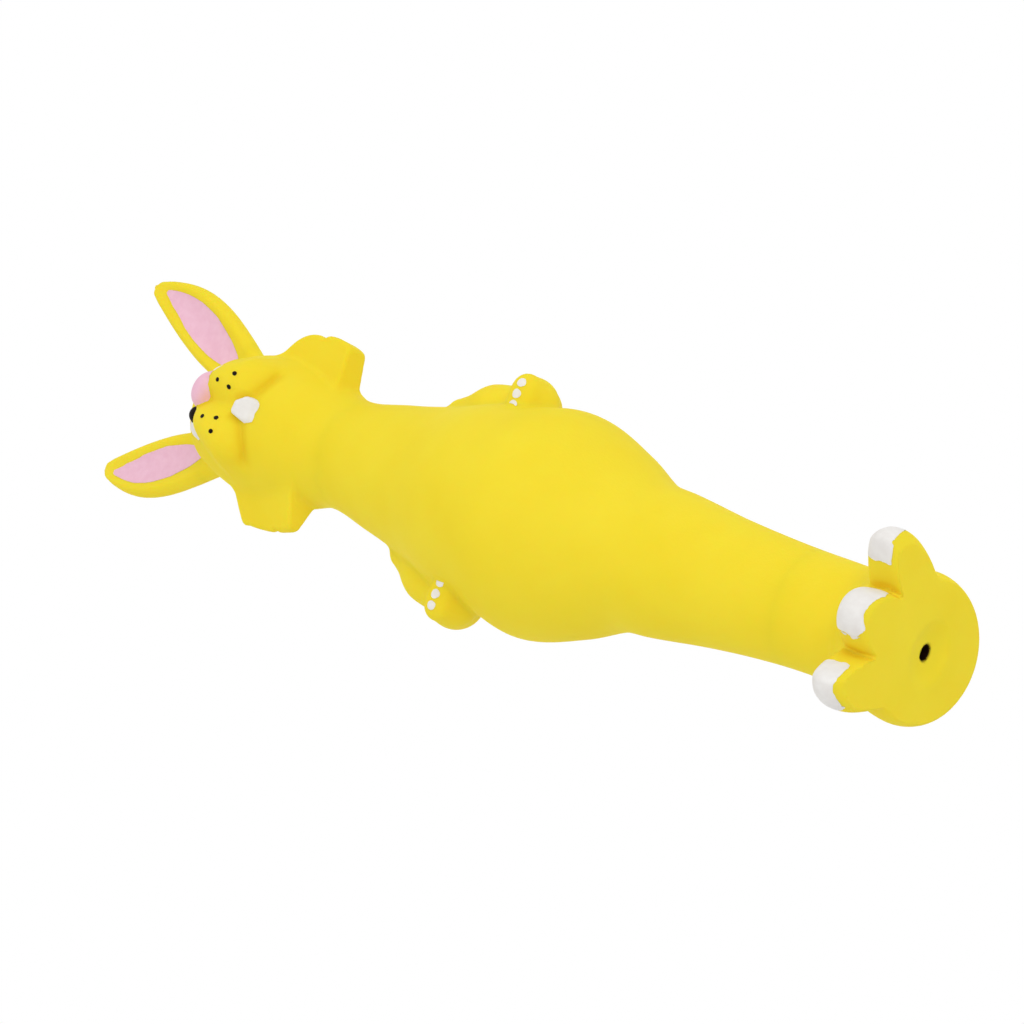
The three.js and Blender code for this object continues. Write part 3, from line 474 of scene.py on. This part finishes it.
def squeaker_room(p):
    """The air hole with the squeaker's pocket, and the dimple around the hole."""
    far = np.hypot(p[:, 0] - hole_place[0], p[:, 1] - hole_place[1])
    z = p[:, 2]
    hole = np.maximum(far - hole_radius, z - pocket_floor - hole_overlap)
    pocket = np.maximum(far - pocket_radius, np.maximum(pocket_floor - z, z - pocket_top))
    dimple_radii = (dimple_radius, dimple_radius, dimple_depth + dimple_drop)
    return np.minimum(hole, pocket), ellipsoid(p, (*hole_place, -dimple_drop), dimple_radii)


def skin(p):
    """Distance to the skin's surface for points in the toy's own frame, negative inside."""
    form = column(p)
    z = p[:, 2]
    low = z < foot_zone_top
    if low.any():
        q = p[low]
        leg = np.maximum(form[low], leg_start - q[:, 2])
        both = smooth_union(leg, foot(q), ankle_join)
        room, dimple = squeaker_room(q)
        both = smooth_both(both, -dimple, dimple_join)
        form[low] = smooth_both(both, -room, pocket_join)
    beside = (z > arm_zone_bottom) & (z < arm_zone_top) & (np.abs(p[:, 0]) > arm_zone_side)
    if beside.any():
        form[beside] = smooth_union(form[beside], arm(p[beside]), shoulder_join)
    high = z > head_zone_bottom
    if high.any():
        form[high] = head_features(p[high], form[high])
    return form


def slopes_of(field, p):
    step = 0.02
    out = np.empty_like(p)
    for i in range(3):
        move = np.zeros(3)
        move[i] = step
        out[:, i] = (field(p + move) - field(p - move)) / (2 * step)
    return out


def onto_surface(field, p, times):
    """Points moved to where field is zero, by a limited step each time."""
    furthest, least_slope = 0.6, 0.05
    for _ in range(times):
        slope = slopes_of(field, p)
        step = field(p)[:, None] * slope / np.maximum((slope**2).sum(1), least_slope)[:, None]
        size = np.linalg.norm(step, axis=1, keepdims=True)
        p = p - step * np.minimum(1, furthest / np.maximum(size, TINY))
    return p


def surface_net(field, low, high, step):
    """A closed quad mesh where field changes sign on an even grid."""
    low, high = np.array(low, float), np.array(high, float)
    count = np.ceil((high - low) / step).astype(int) + 1
    axes = [low[i] + step * np.arange(count[i]) for i in range(3)]
    inside = np.empty(count, bool)
    across, deep = np.meshgrid(axes[0], axes[1], indexing="ij")
    slab = 12
    for k in range(0, count[2], slab):
        heights = axes[2][k : k + slab]
        points = np.empty((*across.shape, len(heights), 3))
        points[..., 0], points[..., 1] = across[..., None], deep[..., None]
        points[..., 2] = heights
        inside[:, :, k : k + slab] = (field(points.reshape(-1, 3)) < 0).reshape(points.shape[:3])
    cells = count - 1
    full = np.zeros(cells, int)
    for i, j, k in np.ndindex(2, 2, 2):
        full += inside[i : i + cells[0], j : j + cells[1], k : k + cells[2]]
    mixed_cells = (full > 0) & (full < 8)
    number = np.full(cells, -1)
    number[mixed_cells] = np.arange(mixed_cells.sum())
    points = low + (np.argwhere(mixed_cells) + 0.5) * step
    quads = []
    for axis in range(3):
        u, v = (axis + 1) % 3, (axis + 2) % 3
        a = np.moveaxis(inside, (axis, u, v), (0, 1, 2))
        turned = np.moveaxis(number, (axis, u, v), (0, 1, 2))
        here, there = a[:-1, 1:-1, 1:-1], a[1:, 1:-1, 1:-1]
        i, j, k = np.nonzero(here != there)
        ring = [turned[i, j, k], turned[i, j + 1, k], turned[i, j + 1, k + 1], turned[i, j, k + 1]]
        quad = np.stack(ring, 1)
        leaving = here[i, j, k]
        quad[~leaving] = quad[~leaving][:, ::-1]
        quads.append(quad)
    return points, np.concatenate(quads)


def edges_of(quads):
    """Every edge once, the edge number of each side of each quad, and how many quads share it."""
    sides = np.stack([quads, np.roll(quads, -1, 1)], 2).reshape(-1, 2)
    sides.sort(1)
    edges, index, shared = np.unique(sides, axis=0, return_inverse=True, return_counts=True)
    return edges, index.reshape(-1, 4), shared


def relaxed(field, points, quads, times, keep=None):
    """Points evened out over the surface, apart from those to keep."""
    edges, _, _ = edges_of(quads)
    total = np.bincount(edges.ravel(), minlength=len(points))[:, None]
    for _ in range(times):
        mean = np.zeros_like(points)
        np.add.at(mean, edges[:, 0], points[edges[:, 1]])
        np.add.at(mean, edges[:, 1], points[edges[:, 0]])
        moved = points + 0.5 * (mean / np.maximum(total, 1) - points)
        moved = onto_surface(field, moved, 1)
        if keep is not None:
            moved[keep] = points[keep]
        points = moved
    return points


def finer(field, points, quads):
    """Each quad in four, with the new points on the surface, apart from those on an open edge."""
    edges, index, shared = edges_of(quads)
    middles = points[edges].mean(1)
    centres = points[quads].mean(1)
    first, second = len(points), len(points) + len(edges)
    every = np.concatenate([points, middles, centres])
    mid = first + index
    centre = second + np.arange(len(quads))
    split = []
    for i in range(4):
        split.append(np.stack([quads[:, i], mid[:, i], centre, mid[:, i - 1]], 1))
    split = np.concatenate(split)
    keep = np.zeros(len(every), bool)
    keep[edges[shared == 1].ravel()] = True
    keep[first:second][shared == 1] = True
    moved = onto_surface(field, every, 2)
    moved[keep] = every[keep]
    moved = relaxed(field, moved, split, 1, keep)
    free = onto_surface(field, moved, 1)
    free[keep] = moved[keep]
    return free, split


def part_of(points, quads, chosen):
    """The quads that are chosen, with only their own points."""
    used, index = np.unique(quads[chosen], return_inverse=True)
    return points[used], index.reshape(-1, 4)


def normals_of(field, points):
    slope = slopes_of(field, points)
    return slope / np.linalg.norm(slope, axis=1, keepdims=True)


def to_row(points):
    """From the toy's own frame in millimetres to the shared frame in metres."""
    return (points + [0, axis_y, 0]) * MM


def placed(name, data):
    """A new object in the scene."""
    thing = bpy.data.objects.new(name, data)
    bpy.context.scene.collection.objects.link(thing)
    return thing


def new_mesh(name, points, faces, normals=None):
    """A Blender mesh in metres, with the place of every point at rest kept for its material."""
    mesh = bpy.data.meshes.new(name)
    mesh.from_pydata(to_row(points).tolist(), [], [list(f) for f in faces])
    mesh.update()
    for polygon in mesh.polygons:
        polygon.use_smooth = True
    if normals is not None:
        mesh.normals_split_custom_set_from_vertices(normals.tolist())
    place = mesh.attributes.new("rest", "FLOAT_VECTOR", "POINT")
    place.data.foreach_set("vector", points.astype(np.float32).ravel())
    return placed(name, mesh)


def set_share(piece, name, values):
    """A number from 0 to 1 for each point, for the material to read."""
    attribute = piece.data.attributes.new(name, "FLOAT", "POINT")
    attribute.data.foreach_set("value", np.clip(values, 0, 1).astype(np.float32))


# Fields of the paint, negative where a colour lies
def ragged(p, size, amount, seed):
    """A smooth uneven value over space, from a few waves in different directions."""
    rng = np.random.default_rng(seed)
    finer_waves, weaker_waves = 1.9, 1.7
    total = np.zeros(len(p))
    for octave in range(3):
        for _ in range(4):
            direction = rng.normal(size=3)
            direction *= 2 * math.pi / (size * np.linalg.norm(direction)) * finer_waves**octave
            total += np.sin(p @ direction + rng.uniform(0, 2 * math.pi)) / weaker_waves**octave
    return amount * total / 4


def paint_nose(p):
    return nose(p, nose_paint_growth) + ragged(p, *uneven["nose"])


def paint_tooth(p):
    edge = corners_apart(p, tooth_corners) - tooth_paint_growth + ragged(p, *uneven["tooth"])
    return np.maximum(edge, p[:, 1] - tooth_paint_back)


def paint_pupil(sign):
    def field(p):
        return pupil(p * [sign, 1, 1], pupil_paint_growth) + ragged(p, *uneven["pupil"])

    return field


def paint_eye(sign):
    """The white around the pupil, clear of the pupil's black and the nose's pink."""

    def field(p):
        own_side = p * [sign, 1, 1]
        edge = ellipsoid(own_side, eye_centre, np.array(eye_radii) + eye_paint_growth)
        others = np.minimum(pupil(own_side, pupil_paint_growth), nose(p, nose_clear))
        return np.maximum(edge + ragged(p, *uneven["eye"]), paint_gap - others)

    return field


def paint_claw(sign, number):
    tip = list(paw_tips())[number][1] + [0, -finger_radius - claw_paint_ahead, -claw_drop]

    def field(p):
        edge = np.linalg.norm(p * [sign, 1, 1] - tip, axis=1) - claw_radius
        return edge + ragged(p, *claw_uneven, first_claw_seed + number)

    return field


def paint_nail(name):
    """The white on a toe's end: only its tip below, with horns back along its sides, more above."""
    turn, reach, gain, most, widest, seed = nails[name]
    angle = math.radians(turn)
    ahead = np.array([math.sin(angle), -math.cos(angle), 0])
    aside = np.array([math.cos(angle), math.sin(angle), 0])

    def field(p):
        q = p - [foot_side, foot_back, 0]
        along, side, z = q @ ahead, q @ aside, q[:, 2]
        below = nail_lip + gain[0] * np.maximum(side, 0) ** 2 + gain[1] * np.maximum(-side, 0) ** 2
        share = smooth_step(nail_low, nail_high, z)
        back = below * (1 - share) + np.maximum(below, nail_top_reach) * share
        limit = most[1] + (most[0] - most[1]) * smooth_step(-nail_side_blend, nail_side_blend, side)
        edge = reach - np.minimum(back, limit) - along + ragged(p, *nail_uneven, seed)
        turned = np.degrees(np.arctan2(np.abs(side), along))
        edge = np.maximum(edge, nail_turn_slope * (turned - widest))
        return np.maximum(edge, np.maximum(np.abs(side) - nail_half_width, nail_floor - z))

    return field


def paint_lining(side):
    """The pink in the hollow of an ear, drawn in towards both ends."""

    def field(p):
        q, share, half_width, _, across = ear_parts(p, side)
        along = (q[:, 2] - lining_start) / (ear_lengths[side] - lining_trim)
        taper = np.sin(np.pi * np.clip(along, 0.01, 0.99)) ** lining_taper_power
        off = np.abs(across + lining_shift - lining_swing * share)
        sideways = off - lining_width_share * half_width * taper
        end = q[:, 2] - ear_lengths[side] + lining_end
        edge = np.maximum(np.maximum(sideways, q[:, 1] - lining_front), end)
        return edge + ragged(p, *uneven["lining"])

    return field


def paint_dots(sign):
    """The whisker dots on one pad."""

    def field(p):
        near = np.full(len(p), dot_far)
        for across, height in dot_places:
            off = np.hypot(p[:, 0] * sign - across, (p[:, 2] - height) * dot_flatness)
            near = np.minimum(near, off - dot_radius)
        return np.maximum(near, p[:, 1]) + ragged(p, *uneven["dots"])

    return field


# Materials
def new_material(name):
    material = bpy.data.materials.new(name)
    material.use_nodes = True
    return material, material.node_tree, material.node_tree.nodes["Principled BSDF"]


def mesh_value(tree, name, output):
    """What the mesh keeps under a name."""
    node = tree.nodes.new("ShaderNodeAttribute")
    node.attribute_name = name
    return node.outputs[output]


def noise(tree, place, scale, detail=3.0, roughness=0.55):
    node = tree.nodes.new("ShaderNodeTexNoise")
    node.inputs["Scale"].default_value = scale
    node.inputs["Detail"].default_value = detail
    node.inputs["Roughness"].default_value = roughness
    tree.links.new(place, node.inputs["Vector"])
    return node.outputs["Fac"]


def ramp(tree, value, stops):
    node = tree.nodes.new("ShaderNodeValToRGB")
    elements = node.color_ramp.elements
    while len(elements) < len(stops):
        elements.new(0.5)
    for element, (position, colour) in zip(elements, stops):
        element.position = position
        element.color = (*colour, 1)
    tree.links.new(value, node.inputs["Fac"])
    return node.outputs["Color"]


def mixed(tree, factor, a, b):
    """Colour a where factor is 0 and b where it is 1."""
    node = tree.nodes.new("ShaderNodeMix")
    node.data_type = "RGBA"
    for socket, value in (("Factor", factor), ("A", a), ("B", b)):
        wanted = [s for s in node.inputs if s.name == socket and (s.type == "RGBA" or socket == "Factor")]
        if isinstance(value, bpy.types.NodeSocket):
            tree.links.new(value, wanted[0])
        else:
            wanted[0].default_value = (*value, 1)
    return [s for s in node.outputs if s.type == "RGBA"][0]


def bumps(tree, shader, layers):
    """Bumps one over another, each with its height in metres and its strength."""
    last = None
    for value, distance, strength in layers:
        node = tree.nodes.new("ShaderNodeBump")
        node.inputs["Distance"].default_value = distance
        node.inputs["Strength"].default_value = strength
        tree.links.new(value, node.inputs["Height"])
        if last:
            tree.links.new(last, node.inputs["Normal"])
        last = node.outputs["Normal"]
    tree.links.new(last, shader.inputs["Normal"])


def uneven_colour(tree, shader, value, low, high):
    tree.links.new(ramp(tree, value, [(0.35, low), (0.65, high)]), shader.inputs["Base Color"])


def uneven_roughness(tree, shader, value, low, high):
    tree.links.new(ramp(tree, value, [(0.3, (low,) * 3), (0.7, (high,) * 3)]), shader.inputs["Roughness"])


def latex_material():
    """Yellow rubber, with painted shade: a deeper orange in its folds and creases, and near black inside
    the air hole.
    """
    yellow_low, yellow_high = (0.91, 0.71, 0.032), (0.94, 0.75, 0.042)
    # Painted shade: a deeper orange in folds and creases
    fold_shade_colour, fold_shade_most = (0.78, 0.47, 0.008), 0.38
    # Painted shade: near black inside the air hole
    hole_shade_colour = (0.01, 0.004, 0.002)
    material, tree, shader = new_material("latex_yellow")
    place = mesh_value(tree, "rest", "Vector")
    yellow = ramp(tree, noise(tree, place, 0.05, 2), [(0.3, yellow_low), (0.7, yellow_high)])
    # Painted shade mixed in over the yellow: orange in folds and creases, then near black in the air hole
    deep = ramp(tree, mesh_value(tree, "fold_shade", "Fac"), [(0.0, (0, 0, 0)), (1.0, (fold_shade_most,) * 3)])
    body = mixed(tree, deep, yellow, fold_shade_colour)
    whole = mixed(tree, mesh_value(tree, "shade", "Fac"), body, hole_shade_colour)
    tree.links.new(whole, shader.inputs["Base Color"])
    fine = noise(tree, place, 2.4, 4, 0.6)
    uneven_roughness(tree, shader, fine, 0.56, 0.68)
    bumps(tree, shader, [(noise(tree, place, 0.35, 3), 0.0003, 0.25), (fine, 0.0001, 0.25)])
    shader.inputs["Specular IOR Level"].default_value = 0.03
    shader.inputs["Subsurface Weight"].default_value = 0.25
    shader.inputs["Subsurface Radius"].default_value = (1.0, 0.4, 0.06)
    shader.inputs["Subsurface Scale"].default_value = 0.004
    return material


def paint_material(name, low, high, rough, shine):
    material, tree, shader = new_material(name)
    place = mesh_value(tree, "rest", "Vector")
    uneven_colour(tree, shader, noise(tree, place, 0.5, 4), low, high)
    fine = noise(tree, place, 2.0, 4, 0.6)
    uneven_roughness(tree, shader, fine, rough - 0.06, rough + 0.06)
    bumps(tree, shader, [(fine, 0.0001, 0.3)])
    shader.inputs["Specular IOR Level"].default_value = shine
    return material


def node_material(name, low, high, rough, scale):
    """For pieces without a place at rest: the noise lies in the object's space, in metres."""
    material, tree, shader = new_material(name)
    place = tree.nodes.new("ShaderNodeTexCoord").outputs["Object"]
    cloud = noise(tree, place, scale, 4)
    uneven_colour(tree, shader, cloud, low, high)
    uneven_roughness(tree, shader, cloud, rough - 0.08, rough + 0.08)
    bumps(tree, shader, [(noise(tree, place, scale * 4, 3), 0.0002, 0.3)])
    return material


latex = latex_material()
# Paints by slot: low and high end of the colour, roughness and shine
paint_looks = {
    "paint_pink": ((0.87, 0.51, 0.64), (0.91, 0.56, 0.69), 0.6, 0.2),
    "paint_white": ((0.83, 0.80, 0.77), (0.88, 0.86, 0.83), 0.55, 0.2),
    "paint_black": ((0.008, 0.006, 0.005), (0.02, 0.015, 0.012), 0.5, 0.06),
}
paints = {slot: paint_material(slot, *look) for slot, look in paint_looks.items()}
fibre = node_material("polyester_fibre", (0.7, 0.69, 0.66), (0.88, 0.87, 0.85), 0.85, 700)
plastic = node_material("squeaker_plastic", (0.72, 0.72, 0.69), (0.8, 0.8, 0.77), 0.42, 400)
film = node_material("reed_film", (0.62, 0.6, 0.52), (0.72, 0.7, 0.62), 0.3, 400)

# The skin as one mesh
skin_low, skin_high = (-31, -30, -2), (31, 24, 239)
grid_step = 0.8
points, quads = surface_net(skin, skin_low, skin_high, grid_step)
points = onto_surface(skin, points, 3)
points = relaxed(skin, points, quads, 5)
points = onto_surface(skin, points, 2)

# Where each piece of the skin begins: heights, and for the ears the length along the blade
ankle_seam, neck_seam = 27, 150
ear_seam, ear_aside, ear_lowest = 5.2, 12, 190
arm_lowest, arm_highest, arm_clear = 92, 138, 0.4
centres = points[quads].mean(1)
height = centres[:, 2]
piece_of = np.full(len(quads), "torso", dtype="<U12")
piece_of[height < ankle_seam] = "foot"
piece_of[height > neck_seam] = "head"
on_arm = (height > arm_lowest) & (height < arm_highest) & (arm(centres) < column(centres) - arm_clear)
for side, sign in (("left", 1), ("right", -1)):
    own_side = np.sign(centres[:, 0]) == sign
    piece_of[on_arm & own_side] = f"arm_{side}"
    q = ear_parts(centres, side)[0]
    on_ear = (np.abs(q[:, 0]) < ear_aside) & (q[:, 2] > ear_seam) & (height > ear_lowest)
    piece_of[on_ear & own_side] = f"ear_{side}"

# Pieces with fine detail have each quad in four
skins = {}
for name in ("torso", "foot", "head", "ear_left", "ear_right", "arm_left", "arm_right"):
    own, faces = part_of(points, quads, piece_of == name)
    if name != "torso":
        own, faces = finer(skin, own, faces)
    skins[name] = (own, faces, normals_of(skin, own))

# Painted shade in folds and creases: felt this far off the surface, shown between these shares, less
# below the neck
fold_shade_reach, fold_shade_from, fold_shade_to = 1.8, 0.2, 1.1
fold_shade_body, fold_shade_head_gain, fold_shade_head_rise = 0.7, 0.3, 8
# The painted shade inside the air hole fades out over this width past its edge
hole_shade_fade = 0.5


def skin_piece(name, *nodes):
    own, faces, normals = skins[name]
    piece = new_mesh(f"skin_{name}", own, faces, normals)
    piece.data.materials.append(latex)
    # Painted shade: near black on the walls inside the air hole
    far = np.hypot(own[:, 0] - hole_place[0], own[:, 1] - hole_place[1])
    hole_shade_mask = 1 - smooth_step(hole_radius, hole_radius + hole_shade_fade, far)
    set_share(piece, "shade", hole_shade_mask * (own[:, 2] < pocket_top))
    # Painted shade: deeper orange where the surface nearby turns inwards, and along the mouth lines
    fold_shade = smooth_step(fold_shade_from, fold_shade_to, 1 - skin(own + fold_shade_reach * normals) / fold_shade_reach)
    fold_shade *= fold_shade_body + fold_shade_head_gain * smooth_step(neck_seam, neck_seam + fold_shade_head_rise, own[:, 2])
    set_share(piece, "fold_shade", np.maximum(fold_shade, mouth_shade(own)) if name == "head" else fold_shade)
    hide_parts(*nodes)
    return piece


# How far a coat of paint stands over the skin and reaches into it
coat_thickness = 0.07
coat_sink = 0.1
# A cut keeps this share of an edge clear of both its ends
cut_margin = 0.02


def coat(name, base, field, slot, node=None):
    """A shell over part of a skin piece, cut at the exact edge of the painted field."""
    own, faces, normals = skins[base]
    value = field(own)
    near = faces[(value[faces] < 0).any(1)]
    triangles = np.concatenate([near[:, [0, 1, 2]], near[:, [0, 2, 3]]])
    new_points, new_normals, number = [], [], {}

    def vertex(key, place, normal):
        if key not in number:
            number[key] = len(new_points)
            new_points.append(place)
            new_normals.append(normal)
        return number[key]

    polygons = []
    for triangle in triangles:
        ring = []
        for i in range(3):
            a, b = int(triangle[i]), int(triangle[(i + 1) % 3])
            if value[a] < 0:
                ring.append(vertex((a, a), own[a], normals[a]))
            if (value[a] < 0) != (value[b] < 0):
                t = value[a] / (value[a] - value[b])
                t = min(max(t, cut_margin), 1 - cut_margin)
                low, high = min(a, b), max(a, b)
                share = t if a == low else 1 - t
                place = own[low] + share * (own[high] - own[low])
                normal = normals[low] + share * (normals[high] - normals[low])
                ring.append(vertex((low, high), place, normal))
        if len(ring) > 2:
            polygons.append(ring)
    if not polygons:
        raise SystemExit(f"{name} covers nothing")
    place, normal = np.array(new_points), np.array(new_normals)
    normal /= np.linalg.norm(normal, axis=1, keepdims=True)
    top = place + coat_thickness * normal
    bottom = place - coat_sink * normal
    open_sides = {}
    for ring in polygons:
        for i, a in enumerate(ring):
            b = ring[(i + 1) % len(ring)]
            if (b, a) in open_sides:
                del open_sides[(b, a)]
            else:
                open_sides[(a, b)] = True
    count = len(place)
    shell = [list(ring) for ring in polygons]
    shell += [[i + count for i in reversed(ring)] for ring in polygons]
    shell += [[b, a, a + count, b + count] for a, b in open_sides]
    piece = new_mesh(name, np.concatenate([top, bottom]), shell, np.concatenate([normal, -normal]))
    piece.data.materials.append(paints[slot])
    if node:
        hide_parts(node)
    return piece


# The skin and its paint.
torso = skin_piece("torso", "body", "belly")
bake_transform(torso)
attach(skin_piece("head", "head"), "toy")
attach(skin_piece("foot", "foot"), "toy")
for side, sign in (("left", 1), ("right", -1)):
    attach(skin_piece(f"arm_{side}", f"arm_{side}"), "toy")
    root, axes = ear_frame(side)
    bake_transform(skin_piece(f"ear_{side}", f"ear_{side}"))
    lining = coat(f"lining_{side}", f"ear_{side}", paint_lining(side), "paint_pink", f"ear_lining_{side}")
    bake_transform(lining)
    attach(coat(f"eye_white_{side}", "head", paint_eye(sign), "paint_white", f"eye_{side}"), "toy")
    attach(coat(f"pupil_black_{side}", "head", paint_pupil(sign), "paint_black", f"pupil_{side}"), "toy")
    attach(coat(f"whisker_dots_{side}", "head", paint_dots(sign), "paint_black"), "toy")
    for i in range(3):
        node = f"claw_{side}_{i + 1}"
        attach(coat(f"{node}_white", f"arm_{side}", paint_claw(sign, i), "paint_white", node), "toy")
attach(coat("nose_pink", "head", paint_nose, "paint_pink", "nose"), "toy")
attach(coat("tooth_white", "head", paint_tooth, "paint_white", "tooth"), "toy")
for name in nails:
    node = f"nail_{name}"
    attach(coat(f"{node}_white", "foot", paint_nail(name), "paint_white", node), "toy")


def filling(name, node, low, high, inset):
    """Lumpy fibre between two heights, inset from the outside of the skin."""

    def field(p):
        inner = np.maximum(column(p) + inset, np.maximum(low - p[:, 2], p[:, 2] - high))
        return inner + ragged(p, *uneven["fibre"])

    margin, fibre_step = 3, 2.4
    own, faces = surface_net(field, (-28, -30, low - margin), (28, 24, high + margin), fibre_step)
    own = onto_surface(field, own, 3)
    own = relaxed(field, own, faces, 3)
    piece = new_mesh(name, own, faces)
    piece.data.materials.append(fibre)
    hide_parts(node)
    return piece


body_fill = filling("fibre_body", "filling_body", low=18, high=154, inset=3.2)
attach(body_fill, "toy")
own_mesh(body_fill)
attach(filling("fibre_head", "filling_head", low=156, high=188, inset=7.4), "toy")

# The squeaker keeps the meshes of its CAD nodes
squeaker = {"squeaker_cup": plastic, "reed_plate": plastic, "squeaker_lid": plastic, "reed": film}
for name, material in squeaker.items():
    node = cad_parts[name]
    node.data.materials.clear()
    node.data.materials.append(material)

# Camera at the photograph's place: below the sole, in front, with the head to the left
look = Vector((0.0574, 0.7639, 0.6428))
right = Vector((0.3741, 0.5805, -0.7233))
up = Vector((0.9257, -0.2820, 0.2524))
camera_place = Vector(to_row(np.array([-28.91, -382.02, -218.30])))
camera_data = bpy.data.cameras.new("camera")
camera_data.sensor_width = 36
camera_data.lens = 84.375
camera_data.clip_start = 0.01
camera = placed("camera", camera_data)
camera_turn = Matrix((right, up, -look)).transposed()
camera.matrix_world = Matrix.Translation(camera_place) @ camera_turn.to_4x4()
bpy.context.scene.camera = camera

# Pale floor well below the toy, because the photograph looks up at the sole
half_floor, floor_height, floor_grey = 3.0, -0.62, 0.85
floor_mesh = bpy.data.meshes.new("floor")
turns = ((-1, -1), (1, -1), (1, 1), (-1, 1))
corners = [(x * half_floor, y * half_floor, floor_height) for x, y in turns]
floor_mesh.from_pydata(corners, [], [[0, 1, 2, 3]])
floor = placed("floor", floor_mesh)
floor_material, _, floor_shader = new_material("pale_floor")
floor_shader.inputs["Base Color"].default_value = (floor_grey, floor_grey, floor_grey, 1)
floor_shader.inputs["Roughness"].default_value = 0.8
floor_mesh.materials.append(floor_material)

# World: white to the eye, dimmer as a light
world_light, world_seen = 0.85, 1.0
world = bpy.data.worlds.new("studio")
world.use_nodes = True
bpy.context.scene.world = world
tree = world.node_tree
background = tree.nodes["Background"]
background.inputs["Color"].default_value = (1, 1, 1, 1)
background.inputs["Strength"].default_value = world_light
bright = tree.nodes.new("ShaderNodeBackground")
bright.inputs["Color"].default_value = (1, 1, 1, 1)
bright.inputs["Strength"].default_value = world_seen
path = tree.nodes.new("ShaderNodeLightPath")
mix = tree.nodes.new("ShaderNodeMixShader")
seen = path.outputs["Is Camera Ray"]
for ray in ("Is Glossy Ray", "Is Transmission Ray"):
    either = tree.nodes.new("ShaderNodeMath")
    either.operation = "MAXIMUM"
    tree.links.new(seen, either.inputs[0])
    tree.links.new(path.outputs[ray], either.inputs[1])
    seen = either.outputs[0]
tree.links.new(seen, mix.inputs["Fac"])
tree.links.new(background.outputs[0], mix.inputs[1])
tree.links.new(bright.outputs[0], mix.inputs[2])
tree.links.new(mix.outputs[0], tree.nodes["World Output"].inputs["Surface"])

# One soft square lamp, below and in front, that looks at the middle of the toy
key_target, key_direction, key_distance = Vector((0, 0, 0.11)), Vector((0.32, -0.62, -0.78)), 1.1
key_data = bpy.data.lights.new("key", "AREA")
key_data.size = 0.9
key_data.energy = 8.8
key = placed("key", key_data)
key.location = key_target + key_direction.normalized() * key_distance
key.rotation_euler = (key_target - key.location).to_track_quat("-Z", "Y").to_euler()

bpy.context.scene.view_settings.view_transform = "Standard"
